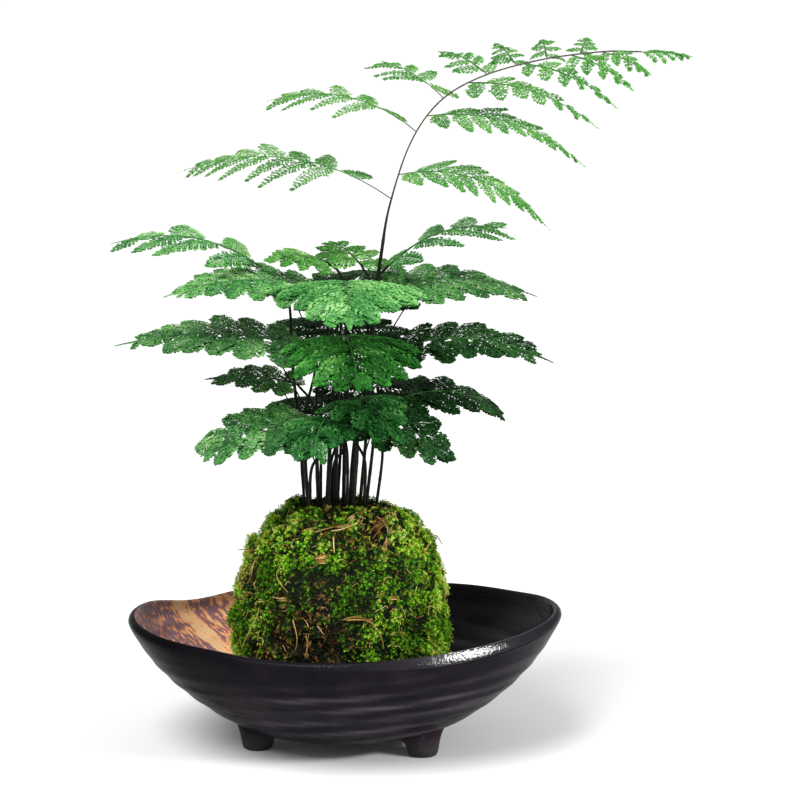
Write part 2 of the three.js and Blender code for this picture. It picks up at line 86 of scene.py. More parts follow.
# Name, foot of the stem, start and tip of the rib, half width, turn about the rib in degrees (positive
# lowers the side nearer the front), rise of the rib, sag of the side twigs, side twigs on each half, stem
# radius, kind of leaf: "light" for a frond painted as lit, "dark" for one painted in shade.
FRONDS = (
    ("front_low_left", (-17, -9), (-15, -15, 163), (-68, -42, 152), 27, 16, 6, 5, 5, 1.0, "light"),
    ("front_low_centre", (-8, -11), (-5, -17, 166), (-14, -66, 156), 25, 0, 8, 6, 4, 0.9, "light"),
    ("front_low_inner", (1, -10), (2, -14, 175), (24, -58, 164), 23, 4, 7, 5, 4, 0.9, "light"),
    ("front_low_right", (9, -8), (12, -13, 166), (48, -44, 151), 24, 12, 6, 6, 4, 0.9, "dark"),
    ("right_low", (15, -2), (24, 2, 172), (78, 14, 164), 28, 10, 8, 4, 5, 0.9, "dark"),
    ("left_mid_low", (-20, 2), (-24, 3, 180), (-68, 0, 183), 19, 9, 3, 3, 5, 0.8, "light"),
    ("left_mid", (-18, -3), (-23, -7, 201), (-110, -26, 203), 33, 8, 6, 4, 7, 1.0, "light"),
    ("centre_mid", (-5, -6), (-1, -13, 206), (8, -80, 189), 45, 0, 8, 9, 6, 1.2, "light"),
    ("back_mid", (-1, 9), (1, 15, 200), (-12, 90, 201), 42, 0, 6, 5, 6, 1.0, "dark"),
    ("right_mid", (10, -3), (22, -4, 198), (101, -20, 194), 32, 9, 9, 4, 7, 1.0, "dark"),
    ("high_left", (-13, -5), (-15, -6, 229), (-86, -30, 227), 32, 7, 6, 5, 7, 1.1, "light"),
    ("high_front", (-9, -7), (0, -10, 231), (4, -88, 219), 44, 0, 9, 7, 6, 1.2, "light"),
    ("high_right", (7, 3), (20, 4, 227), (95, 22, 221), 34, 8, 7, 4, 7, 1.0, "dark"),
    ("top_left", (-18, 6), (-36, 10, 233), (-113, -6, 250), 30, 9, 11, 3, 4, 1.1, "light"),
    ("top_centre_left", (-12, 1), (-9, 5, 240), (-38, -12, 243), 19, 9, 3, 3, 4, 0.7, "light"),
    ("top_centre_right", (-4, 2), (8, 9, 238), (-8, 38, 247), 20, 0, 2, 3, 4, 0.8, "light"),
    ("top_right", (7, 8), (22, 9, 238), (79, 2, 257), 30, 8, 8, 3, 4, 0.9, "dark"),
    ("back_low", (-7, 8), (-4, 15, 159), (-28, 76, 158), 34, 0, 8, 6, 5, 1.0, "dark"),
    ("back_low_right", (4, 11), (9, 17, 170), (34, 82, 166), 34, 0, 8, 6, 5, 1.0, "dark"),
    ("back_high", (-1, 5), (2, 14, 222), (16, 92, 224), 40, 0, 6, 6, 6, 1.1, "dark"),
)
# Leaves that aren't of their kind's usual tone.
TONES = {
    "front_low_centre": "low", "front_low_inner": "low", "centre_mid": "fresh", "high_left": "high",
    "high_front": "high", "high_right": "front", "top_left": "high", "top_right": "high",
    "top_centre_left": "newest", "top_centre_right": "newest",
}
# Stems that fork under their frond, with the side of the rib that the finer twig goes to.
FORKED = {
    "front_low_left": 1, "front_low_right": -1, "right_low": 1, "left_mid_low": 1, "left_mid": 1,
    "centre_mid": -1, "right_mid": -1, "high_left": 1, "high_front": 1, "high_right": -1,
}
TALL_FOOT = (3, -1)
TALL_PATH = (
    (5, -1, 150), (10, -1, 175), (13, 0, 200), (15, 1, 222), (18, 1, 245), (22, 1, 268), (32, 1, 298),
    (46, 0, 318), (66, 0, 330), (94, 0, 338), (124, 0, 342), (143, 0, 342),
)
# Name, start, tip, half width, turn, rise, side twigs on each half.
SPRAYS = (
    ("tall_left_1", (23, 1, 272), (-80, -14, 285), 24, 11, 14, 7),
    ("tall_left_2", (35, 1, 303), (-37, -10, 319), 19, 10, 10, 5),
    ("tall_left_3", (49, 0, 320), (18, 18, 337), 14, 10, 3, 4),
    ("tall_right_1", (27, 1, 284), (99, -22, 258), 22, 13, 12, 8),
    ("tall_right_2", (40, 0, 311), (116, -26, 288), 18, 13, 10, 8),
    ("tall_near_1", (60, 0, 327), (121, -30, 307), 13, 13, 7, 6),
    ("tall_near_2", (88, 0, 336), (129, -34, 317), 10, 13, 5, 5),
    ("tall_near_3", (108, 0, 340), (137, -28, 325), 9, 13, 3, 4),
    ("tall_near_4", (124, 0, 342), (146, -20, 332), 8, 13, 2, 4),
    ("tall_far_1", (70, 0, 331), (46, 36, 341), 13, 10, 3, 5),
    ("tall_far_2", (84, 0, 335), (74, 38, 345), 10, 8, 2, 5),
    ("tall_far_3", (98, 0, 339), (97, 34, 347), 10, 8, 2, 4),
    ("tall_far_4", (114, 0, 341), (119, 28, 348), 9, 8, 1, 4),
    ("tall_tip", (143, 0, 342), (167, 0, 340), 8, 12, 1, 5),
)

soil_low, soil_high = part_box("soil_ball")
AXIS = Vector(((soil_low.x + soil_high.x) / 2 - BALL_X * MM, (soil_low.y + soil_high.y) / 2, 0))


def at(x, y, z):
    """A place in metres in the object's frame."""
    return AXIS + Vector((x, y, z)) * MM


def millimetres(place):
    """The other way round: across, back and up from the foot of the dish's axis."""
    return (place.x - AXIS.x) / MM, (place.y - AXIS.y) / MM, place.z / MM


def lerp(a, b, t):
    return a + (b - a) * t


def smooth(value, low, high):
    t = min(max((value - low) / (high - low), 0), 1)
    return t * t * (3 - 2 * t)


def curve_through(points, steps):
    """A smooth line through the points (Catmull-Rom), with that many steps between neighbours."""
    points = [Vector(p) for p in points]
    ends = [points[0] * 2 - points[1]] + points + [points[-1] * 2 - points[-2]]
    line = []
    for i in range(len(points) - 1):
        a, b, c, d = ends[i : i + 4]
        for k in range(steps):
            t = k / steps
            square, cube = 2 * a - 5 * b + 4 * c - d, 3 * b - a - 3 * c + d
            line.append(0.5 * (2 * b + (c - a) * t + square * t**2 + cube * t**3))
    return line + [points[-1]]


# ---------- materials ----------


def colour(code):
    """Linear colour from an sRGB hex value."""
    parts = [int(code[i : i + 2], 16) / 255 for i in (1, 3, 5)]
    return tuple(c / 12.92 if c <= 0.04045 else ((c + 0.055) / 1.055) ** 2.4 for c in parts) + (1.0,)


def add_node(tree, kind, links=None, values=None, stops=None, **settings):
    """Adds a node with its settings, the values of its sockets, its links, and its colour stops. A link is
    named by its output, or by a node for that node's first output."""
    made = tree.nodes.new("ShaderNode" + kind)
    for name, value in settings.items():
        setattr(made, name, value)
    for socket, value in (values or {}).items():
        made.inputs[socket].default_value = colour(value) if isinstance(value, str) else value
    for socket, source in (links or {}).items():
        output = source.outputs[0] if isinstance(source, bpy.types.Node) else source
        tree.links.new(output, made.inputs[socket])
    if stops:
        elements = made.color_ramp.elements
        while len(elements) < len(stops):
            elements.new(0.5)
        for element, (place, code) in zip(elements, stops):
            element.position = place
            element.color = colour(code)
    return made


def span(from_low, from_high, to_low=0.0, to_high=1.0):
    """Socket values that map one range on another."""
    return {"From Min": from_low, "From Max": from_high, "To Min": to_low, "To Max": to_high}


def start_material(name):
    """An empty material, the function that adds a node to it, and the place in the object's frame."""
    material = bpy.data.materials.new(name)
    material.use_nodes = True
    material.node_tree.nodes.clear()
    node = partial(add_node, material.node_tree)
    return material, node, node("TexCoord").outputs["Object"]


def end_material(material, node, shader):
    node("OutputMaterial", {"Surface": shader})
    return material


def patchy_tint(node, place, scale, detail, spread):
    """The piece's own tint, made uneven by soft patches."""
    tint = node("Attribute", attribute_name="tint")
    patches = node("TexNoise", {"Vector": place}, {"Scale": scale, "Detail": detail})
    change = node("MapRange", {"Value": patches}, span(0.3, 0.7, -spread, spread))
    return node("Math", {0: tint.outputs["Fac"], 1: change}, operation="ADD")


def leaf_material(name, gloss, stops):
    """Fresh leaf under a thin wax: a soft gloss, and a tone along the tint, from painted shade to painted
    sunlight.
    """
    material, node, place = start_material(name)
    tone = node("ValToRGB", {"Fac": patchy_tint(node, place, 55.0, 2.0, 0.14)}, stops=stops)
    finish = {"Roughness": 0.48, "IOR": 1.42, "Specular IOR Level": gloss}
    return end_material(material, node, node("BsdfPrincipled", {"Base Color": tone}, finish))


def stem_material():
    """Wiry woody stem: near-black green at the foot, thin grey-brown bark at the top of the tall shoot."""
    material, node, place = start_material("asparagus stem")
    split = node("SeparateXYZ", {"Vector": place})
    height = node("MapRange", {"Value": split.outputs["Z"]}, span(0.245, 0.30))
    # Bark streaks about 4 mm long and 1 mm wide run up the stem.
    stretched = node("Mapping", {"Vector": place}, {"Scale": (1.0, 1.0, 0.3)})
    streaks = node("TexNoise", {"Vector": stretched}, {"Scale": 900.0, "Detail": 3.0})
    dark = node("ValToRGB", {"Fac": streaks}, stops=((0.3, "#080c08"), (0.62, "#121a10"), (0.8, "#242d1e")))
    pale = node("ValToRGB", {"Fac": streaks}, stops=((0.3, "#393a31"), (0.7, "#5b5b4f")))
    tone = node("Mix", {0: height, 6: dark, 7: pale}, data_type="RGBA")
    relief = node("Bump", {"Height": streaks}, {"Strength": 0.3, "Distance": 0.0003})
    links = {"Base Color": tone.outputs[2], "Normal": relief}
    finish = {"Roughness": 0.45, "IOR": 1.45, "Specular IOR Level": 0.12}
    return end_material(material, node, node("BsdfPrincipled", links, finish))


def rib_material(name, foot, end):
    """Rib of a frond: the stem's dark bark at its foot, waxy green further out."""
    material, node, place = start_material(name)
    tint = node("Attribute", attribute_name="tint")
    patches = node("TexNoise", {"Vector": place}, {"Scale": 260.0, "Detail": 2.0})
    total = node("Math", {0: patches, 1: tint.outputs["Fac"]}, operation="ADD")
    tone = node("ValToRGB", {"Fac": total}, stops=((0.55, foot), (1.25 / 1.3, end)))
    shader = node("BsdfPrincipled", {"Base Color": tone}, {"Roughness": 0.45, "IOR": 1.45})
    return end_material(material, node, shader)


def rust_over(node, local, split, base):
    """The left end inside has run to rust: flecks about 2 by 4 mm that lean down the wall, and one broad
    pale stroke. The rust stops short of the rim and of the middle of the dish."""
    down, along, through = (
        node("VectorMath", {0: local}, {1: way}, operation="DOT_PRODUCT").outputs["Value"]
        for way in ((0.727, -0.121, -0.667), (0.43, 0.85, 0.31), (0.53, -0.51, 0.67))
    )
    longer = node("Math", {0: down}, {1: 0.42}, operation="MULTIPLY")
    drift = node("CombineXYZ", {0: longer, 1: along, 2: through})
    flecks = node("TexNoise", {"Vector": drift}, {"Scale": 560.0, "Detail": 1.5, "Roughness": 0.5})
    crowd = node("TexNoise", {"Vector": drift}, {"Scale": 90.0, "Detail": 1.0})
    # The stroke lies 22.8 mm from the axis and is about 15 mm broad, with a ragged edge.
    offset = node("Math", {0: along}, {1: 0.0228}, operation="SUBTRACT")
    plain = node("Math", {0: offset}, operation="ABSOLUTE")
    ragged = node("TexNoise", {"Vector": drift}, {"Scale": 300.0, "Detail": 2.0})
    distance = node("Math", {0: ragged, 2: plain}, {1: 0.008}, operation="MULTIPLY_ADD")
    stroke = node(
        "MapRange", {"Value": distance}, span(0.0104, 0.0070, 0.0, 0.26),
        interpolation_type="SMOOTHSTEP",
    )
    nearby = node("MapRange", {"Value": offset}, span(-0.022, 0.004, -0.04, 0.05))
    level = node("Math", {0: crowd}, {1: 0.45, 2: -0.225}, operation="MULTIPLY_ADD")
    for part in (flecks, stroke, nearby):
        level = node("Math", {0: level, 1: part}, operation="ADD")
    tones = (
        (0.46, "#92737c"), (0.545, "#b07a72"), (0.575, "#fd9c6e"), (0.65, "#ffb47f"), (0.78, "#ffcf9a"),
    )
    rust = node("ValToRGB", {"Fac": level}, stops=tones)
    # In plan, the rim is at a reach of 1 all round.
    to_rim = (1 / (DISH_LONG * MM), 1 / (DISH_SHORT * MM), 0.0)
    plan = node("Mapping", {"Vector": local}, {"Scale": to_rim})
    reach = node("VectorMath", {0: plan}, operation="LENGTH")
    rim = node("MapRange", {"Value": reach.outputs["Value"]}, span(1.0, 0.94))
    end = node("MapRange", {"Value": split.outputs["X"]}, span(-0.030, -0.052))
    mask = node("Math", {0: rim, 1: end}, operation="MULTIPLY")
    return node("Mix", {0: mask, 6: base, 7: rust}, data_type="RGBA").outputs[2]


def glaze_material(name, inside):
    """Near-black iron glaze on stoneware: satin gloss, throwing ridges that show through it, and a fine
    orange-peel skin that breaks the highlights up. Inside, one end has run to rust and pale ochre."""
    material, node, place = start_material(name)
    local = node("Mapping", {"Vector": place}, {"Location": (-AXIS.x, -AXIS.y, 0.0)}).outputs[0]
    split = node("SeparateXYZ", {"Vector": local})
    # Fine ridges climb slowly round the wall, 5 to 10 mm apart, and are smoothed away outside near the rim.
    leaning = node(
        "Mapping", {"Vector": local}, {"Rotation": (0.0, 0.13, 0.0), "Scale": (0.25, 0.25, 1.0)}
    )
    ridges = node("TexNoise", {"Vector": leaning}, {"Scale": 105.0, "Detail": 2.0, "Roughness": 0.45})
    fade = node(
        "MapRange", {"Value": split.outputs["Z"]},
        span(0.028, 0.050, 1.0, 0.75 if inside else 0.2),
    )
    height = node("Math", {0: ridges, 1: fade}, operation="MULTIPLY")
    # Orange peel: dimples of about 1 mm.
    peel = node("TexNoise", {"Vector": local}, {"Scale": 950.0, "Detail": 2.0})
    ridge_bump = node("Bump", {"Height": height}, {"Strength": 0.85, "Distance": 0.003})
    skin = node("Bump", {"Height": peel, "Normal": ridge_bump}, {"Strength": 0.45, "Distance": 0.0005})
    clouds = node("TexNoise", {"Vector": local}, {"Scale": 32.0, "Detail": 4.0, "Roughness": 0.6})
    tones = ((0.32, "#111014"), (0.55, "#1a171c"), (0.75, "#281f25"))
    tone = node("ValToRGB", {"Fac": clouds}, stops=tones)
    # The crests of the ridges are painted greyer: a painted highlight along them, in part glaze run thin
    # there.
    crest_highlights = node("Attribute", attribute_name="crest_highlight")
    blotched = node("MapRange", {"Value": clouds}, span(0.35, 0.6, 0.35, 1.0))
    painted_crest_highlight = node("Math", {0: crest_highlights.outputs["Fac"], 1: blotched}, operation="MULTIPLY")
    with_crest_highlight = node("Mix", {0: painted_crest_highlight, 6: tone}, {7: "#4e4950"}, data_type="RGBA")
    # The left end outside is painted near black, as shade; the glaze is thin and paler on the feet.
    thick = node(
        "MapRange", {"Value": split.outputs["X"]},
        span(-0.035, -0.085, 0.0, 0.0 if inside else 0.9),
    )
    painted_shade_left = node("Mix", {0: thick, 6: with_crest_highlight.outputs[2]}, {7: "#08080a"}, data_type="RGBA")
    low = node("MapRange", {"Value": split.outputs["Z"]}, span(0.012, 0.004, 0.0, 0.7))
    foot = node("Mix", {0: low, 6: painted_shade_left.outputs[2]}, {7: "#423e41"}, data_type="RGBA")
    base = rust_over(node, local, split, foot.outputs[2]) if inside else foot.outputs[2]
    gloss = node("MapRange", {"Value": clouds}, span(0.3, 0.7, 0.17, 0.30))
    # On the lip at the front right it has run together, thick and wet-looking; the walls are satin.
    lip = node("Attribute", attribute_name="lip")
    wet = node("Bump", {"Height": peel}, {"Strength": 0.42, "Distance": 0.0004})
    links = {
        "Base Color": base, "Roughness": gloss, "Normal": skin, "Coat Weight": lip.outputs["Fac"],
        "Coat Normal": wet,
    }
    shine = 0.11 if inside else 0.012
    finish = {"IOR": 1.5, "Specular IOR Level": shine, "Coat Roughness": 0.13, "Coat IOR": 1.6}
    return end_material(material, node, node("BsdfPrincipled", links, finish))


def moss_material(name, stops, grains=False):
    """Sheet moss: matt little leaves, bright at the tips and brown-olive where they have dried. On the bed
    the curled shoot tips show as grains of about 1.7 mm, in relief, with painted shade in the gaps between
    them."""
    material, node, place = start_material(name)
    total = patchy_tint(node, place, 70.0, 3.0, 0.2)
    links = {}
    if grains:
        tips = node("TexVoronoi", {"Vector": place}, {"Scale": 590.0, "Randomness": 1.0})
        # The grains are raised in relief and painted darker towards their edges, as shade in the gaps.
        grain_relief_and_shade = node("MapRange", {"Value": tips}, span(0.1, 0.75, 0.16, -0.42))
        total = node("Math", {0: total, 1: grain_relief_and_shade}, operation="ADD")
        links["Normal"] = node("Bump", {"Height": grain_relief_and_shade}, {"Strength": 1.0, "Distance": 0.0016})
    links["Base Color"] = node("ValToRGB", {"Fac": total}, stops=stops)
    shader = node("BsdfPrincipled", links, {"Roughness": 0.75, "IOR": 1.4, "Specular IOR Level": 0.15})
    return end_material(material, node, shader)


def soil_material():
    """Potting soil with coir: crumbs of 1 to 2 mm in relief, in a fine mottle from dark to brown."""
    material, node, place = start_material("potting soil")
    crumbs = node("TexVoronoi", {"Vector": place}, {"Scale": 650.0})
    fine = node("TexNoise", {"Vector": place}, {"Scale": 1200.0, "Detail": 4.0})
    tone = node("ValToRGB", {"Fac": fine}, stops=((0.3, "#1d130c"), (0.55, "#3b2a1c"), (0.75, "#6a5137")))
    relief = node("Bump", {"Height": crumbs}, {"Strength": 0.9, "Distance": 0.0012})
    shader = node(
        "BsdfPrincipled", {"Base Color": tone, "Normal": relief}, {"Roughness": 0.9, "IOR": 1.4}
    )
    return end_material(material, node, shader)


# The tones of a leaf or a moss run from shaded to sunlit, with these steps along the tint.
TONE_STEPS, BED_STEPS = (0.0, 0.3, 0.55, 0.8, 1.0), (0.0, 0.22, 0.45, 0.7, 1.0)
# Lit and shaded copies of one leaf: "front" and "high" are painted lighter for fronds in the light, and
# "low" and "shaded" darker, with painted shade.
LEAVES = {
    kind: leaf_material("asparagus leaf, " + kind, gloss, tuple(zip(TONE_STEPS, tones)))
    for kind, gloss, tones in (
        ("front", 0.24, ("#113314", "#2b632d", "#4d8b46", "#7aae65", "#a8cb89")),
        ("high", 0.28, ("#184b20", "#3a833d", "#64a957", "#90c778", "#bddf9e")),
        ("low", 0.12, ("#08250c", "#16481c", "#2f6f30", "#529148", "#80b26a")),
        ("fresh", 0.16, ("#092d0a", "#175015", "#2b7024", "#4a913b", "#7cb360")),
        ("newest", 0.16, ("#28591a", "#458a31", "#68ae50", "#95cb75", "#c0e2a2")),
        ("shaded", 0.1, ("#08200b", "#133814", "#264f24", "#426d3a", "#6e945b")),
    )
}
LEAVES["young"] = leaf_material(
    "asparagus leaf, young", 0.2, ((0.0, "#2c6826"), (0.35, "#428732"), (0.65, "#5d9e44"), (1.0, "#97c370"))
)
STEM = stem_material()
RIB = rib_material("asparagus rib", "#161d13", "#3b6d33")
RIB_YOUNG = rib_material("young asparagus rib", "#40433a", "#447a3a")
GLAZE = glaze_material("glazed stoneware", False)
GLAZE_INSIDE = glaze_material("glazed stoneware, inside", True)
SOIL = soil_material()
MOSS_BED = moss_material(
    "sheet moss, bed", tuple(zip(BED_STEPS, ("#0d1206", "#1b2c08", "#3a640c", "#68a016", "#a8d040"))), True
)
MOSS_GREEN, MOSS_DEEP, MOSS_OLIVE = (
    moss_material(f"sheet moss, {kind} shoots", tuple(zip(TONE_STEPS, tones)))
    for kind, tones in (
        ("green", ("#182c05", "#35690a", "#5d9f12", "#93cb28", "#d0e860")),
        ("deep green", ("#0b1a06", "#1a410c", "#2f6f14", "#57a02a", "#97cd5a")),
        ("olive", ("#2c260a", "#4d5a0e", "#7b9017", "#adb32b", "#d6c95c")),
    )
)
STRAW = moss_material(
    "dry grass and husk", ((0.0, "#3d2614"), (0.4, "#7d562e"), (0.7, "#b28a50"), (1.0, "#e0c48c"))
)


# ---------- pieces ----------


def set_values(mesh, name, values):
    """Gives each point of a mesh a value that its material reads under that name."""
    layer = mesh.attributes.new(name, "FLOAT", "POINT")
    layer.data.foreach_set("value", np.asarray(values, dtype=np.float32))


def add_piece(name, mesh, materials, slot, *nodes):
    """A finished piece at the origin that stands for the given CAD nodes and hides them; `slot` is not
    used.
    """
    piece = bpy.data.objects.new(name, mesh)
    scene.collection.objects.link(piece)
    for material in materials:
        mesh.materials.append(material)
    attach(piece, "root")
    if nodes:
        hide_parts(*nodes)


def make_mesh(name, vertices, faces, tint=None, split=None):
    """A mesh from points in metres; faces from number `split` on take the second material."""
    mesh = bpy.data.meshes.new(name)
    mesh.from_pydata(np.asarray(vertices), [], faces)
    if tint is not None:
        set_values(mesh, "tint", tint)
    if split is not None:
        index = np.zeros(len(mesh.polygons), dtype=np.int32)
        index[split:] = 1
        mesh.polygons.foreach_set("material_index", index)
    return mesh


def unit(vectors, least=0.0):
    """The rows, each with length 1; `least` keeps a row of zeros from dividing by zero."""
    return vectors / (np.linalg.norm(vectors, axis=1)[:, None] + least)


def chips(base, tip, half, up, share=0.68):
    """Closed little blades, four corners and four faces each: base, tip, and two lowered side corners,
    which lie at that share of the length. The others are arrays, in metres: `half` is the half width, and
    `up` the way that the blade faces."""
    direction = tip - base
    side = unit(np.cross(up, direction), 1e-12) * half[:, None]
    middle = base + direction * share
    drop = up * (half * 0.45)[:, None]
    corners = np.stack((base, tip, middle + side - drop, middle - side - drop), axis=1)
    pattern = np.array(((0, 3, 1), (0, 1, 2), (0, 2, 3), (1, 3, 2)))
    faces = (np.arange(len(base))[:, None, None] * 4 + pattern[None]).reshape(-1, 3)
    return corners.reshape(-1, 3), faces


def chip_piece(name, base, tip, half, up, share, tint, material, slot):
    """A piece made of little blades alone, with a tint for each."""
    corners, faces = chips(base, tip, half, up, share)
    add_piece(name, make_mesh(name, corners, faces.tolist(), np.repeat(tint, 4)), (material,), slot)


def tubes(paths, radii, sides):
    """Vertices and faces of closed tubes; each path is a list of points, with a radius for each point."""
    vertices, faces = [], []
    for path, radius in zip(paths, radii):
        path = [Vector(p) for p in path]
        first, last = len(vertices), len(path) - 1
        for i, point in enumerate(path):
            ahead = (path[min(i + 1, last)] - path[max(i - 1, 0)]).normalized()
            across = ahead.cross(Vector((0.31, 0.95, 0.05))).normalized()
            over = across.cross(ahead)
            for k in range(sides):
                turn = -2 * math.pi * k / sides
                vertices.append(point + (across * math.cos(turn) + over * math.sin(turn)) * radius[i])
        for i in range(last):
            for k in range(sides):
                a, b = first + i * sides + k, first + i * sides + (k + 1) % sides
                faces.append((a, b, b + sides, a + sides))
        faces.append(tuple(first + k for k in reversed(range(sides))))
        faces.append(tuple(first + last * sides + k for k in range(sides)))
    return [tuple(v) for v in vertices], faces


def taper(path, thick, thin):
    """A radius in metres for each point of the path, from `thick` at its start to `thin` at its end."""
    return [lerp(thick, thin, i / (len(path) - 1)) * MM for i in range(len(path))]


# ---------- fronds and sprays ----------


class Blade:
    """Lays flat coordinates, along and across the rib in millimetres, on the arched blade of a frond."""

    def __init__(self, start, tip, half, turn, rise, sag):
        self.half, self.rise, self.sag = half, rise, sag
        chord = Vector(tip) - Vector(start)
        self.length = chord.length
        along = chord.normalized()
        # The half away from the front is held up a little; a frond that points to the front droops evenly.
        self.far_side = 1 if along.x > 0 else -1
        self.far_sag = sag - (sag + 0.09 * half) * min(1, abs(along.x) * 1.3)
        across = Vector((0, 0, 1)).cross(along).normalized()
        basis = Matrix((along, across, along.cross(across))).transposed()
        lean = math.radians(-turn if along.x < 0 else turn)
        self.axes = np.array(basis @ Matrix.Rotation(lean, 3, "X"))
        self.origin = np.array(AXIS) / MM + np.array(start)

    def place(self, flat):
        """Places in metres of flat points (along, across, lift)."""
        flat = np.asarray(flat, dtype=float).reshape(-1, 3)
        share = flat[:, 0] / self.length
        sag = np.where(flat[:, 1] * self.far_side > 0, self.far_sag, self.sag)
        lift = self.rise * 4 * share * (1 - share) - sag * (flat[:, 1] / self.half) ** 2 + flat[:, 2]
        local = np.stack((flat[:, 0], flat[:, 1], lift), axis=1)
        return (local @ self.axes.T + self.origin) * MM


def leaflet(x, y, z, angle, long, end, half, tint):
    """One leaflet in flat coordinates: base, tip, half width and tint."""
    return x, y, z, x + long * math.cos(angle), y + long * math.sin(angle), end, half, tint


def fan_rows(x, y, z, heading, size, petals, spread, shade):
    """A fan of leaflets round a point."""
    rows = []
    for k in range(petals):
        swing = math.radians(spread) * ((k + 0.5) / petals - 0.5) * 2 + random.uniform(-0.12, 0.12)
        long = size * random.uniform(0.86, 1.1) * (1 - 0.12 * abs(swing))
        rows.append(leaflet(
            x, y, z, heading + swing, long, z + random.uniform(-0.45, 0.1),
            size * random.uniform(0.19, 0.26), shade + random.uniform(-0.16, 0.16),
        ))
    return rows


def twig_rows(twig, kind):
    """Leaflets along one side twig: pairs of lobes, each lobe one or two fans."""
    start, lean, reach, wide, bend, lift, droop, tone, tilt = twig
    leaf, pitch = kind["leaf"], kind["pitch"]
    curl = min(1.9, 0.2 * wide)
    rows = []
    steps = max(3, round(reach / pitch))
    for i in range(steps + 1):
        share = min((i + 0.5) / steps, 1.0)
        heading = lean + bend * share
        x = start + reach * share * math.cos(lean + bend * share * 0.5)
        y = reach * share * math.sin(lean + bend * share * 0.5)
        z = lift * share - droop * share**2
        # The twig's own strip of blade closes the middle; it lies under the fans and is painted darker, as
        # shade.
        rows.append((
            x - 0.6 * pitch * math.cos(heading), y - 0.6 * pitch * math.sin(heading), z - 0.2,
            x + 1.3 * pitch * math.cos(heading), y + 1.3 * pitch * math.sin(heading), z - 0.2,
            leaf * 0.42 * (1 - 0.5 * share), tone - 0.2,
        ))
        for side in (-1, 1):
            stretch = wide * (1 - share**2.6) ** 0.5 * min(1, 0.62 + share * 1.8)
            stretch *= random.uniform(0.86, 1.1)
            out = heading + side * math.radians(random.uniform(56, 68) * (1 - 0.4 * share))
            shade = tone + random.uniform(-0.13, 0.13)
            # A broad lobe lies under the fans, so that only small gaps show between them; it is painted
            # darker, as shade.
            lobe = stretch * 0.94
            rise = side * tilt
            rows.append(leaflet(
                x, y, z - 0.15, out, lobe, z - 0.35 + rise * lobe - curl * (lobe / wide) ** 2,
                pitch * kind["web"], shade - kind["under"],
            ))
            rings = max(1, round(stretch / (leaf * 0.95)))
            for k in range(rings):
                last = k == rings - 1
                step = max(stretch - leaf, 0)
                step *= (k + 0.25) / rings if not last else (k + 1) / rings if rings > 1 else 1.0
                height = z + rise * step - curl * (step / wide) ** 2 + random.uniform(-0.2, 0.2)
                # Fans on one side of a twig are painted lighter and on the other darker, as light on the
                # raised edge and shade where it tucks under its neighbour.
                rows += fan_rows(
                    x + step * math.cos(out), y + step * math.sin(out), height, out, leaf,
                    kind["petals"] - (not last), 58 if last else 46,
                    shade + (0.22 if side > 0 else -0.06) * step / wide,
                )
    return rows


def rib_rows(blade, kind):
    """Leaflets straight on the rib: a strip under it, and single ones that draw its end out to a tip."""
    rows = []
    leaf, pitch = kind["leaf"], kind["pitch"]
    # The strip under the rib is painted darker, as shade.
    for x in np.arange(kind["bare"] * blade.length, 0.86 * blade.length, pitch):
        rows.append((x, 0, -0.3, x + 2 * pitch, 0, -0.3, leaf * 0.5 * (1 - x / blade.length), 0.25))
    # A blade that points to the front is drawn out less.
    first = lerp(0.9, 0.78, min(1, abs(blade.axes[0, 0]) * 1.5))
    for i in range(kind["tail"]):
        along = i / (kind["tail"] - 1)
        turn = (1 if i % 2 else -1) * math.radians(lerp(58, 16, along) + random.uniform(-8, 8))
        rows.append(leaflet(
            blade.length * lerp(first, 0.985, along), 0, -0.1, turn, leaf * lerp(1.5, 0.7, along),
            -0.1 - 0.5 * (1 - along), leaf * lerp(0.34, 0.24, along), 0.42 + random.uniform(-0.1, 0.14),
        ))
    return rows


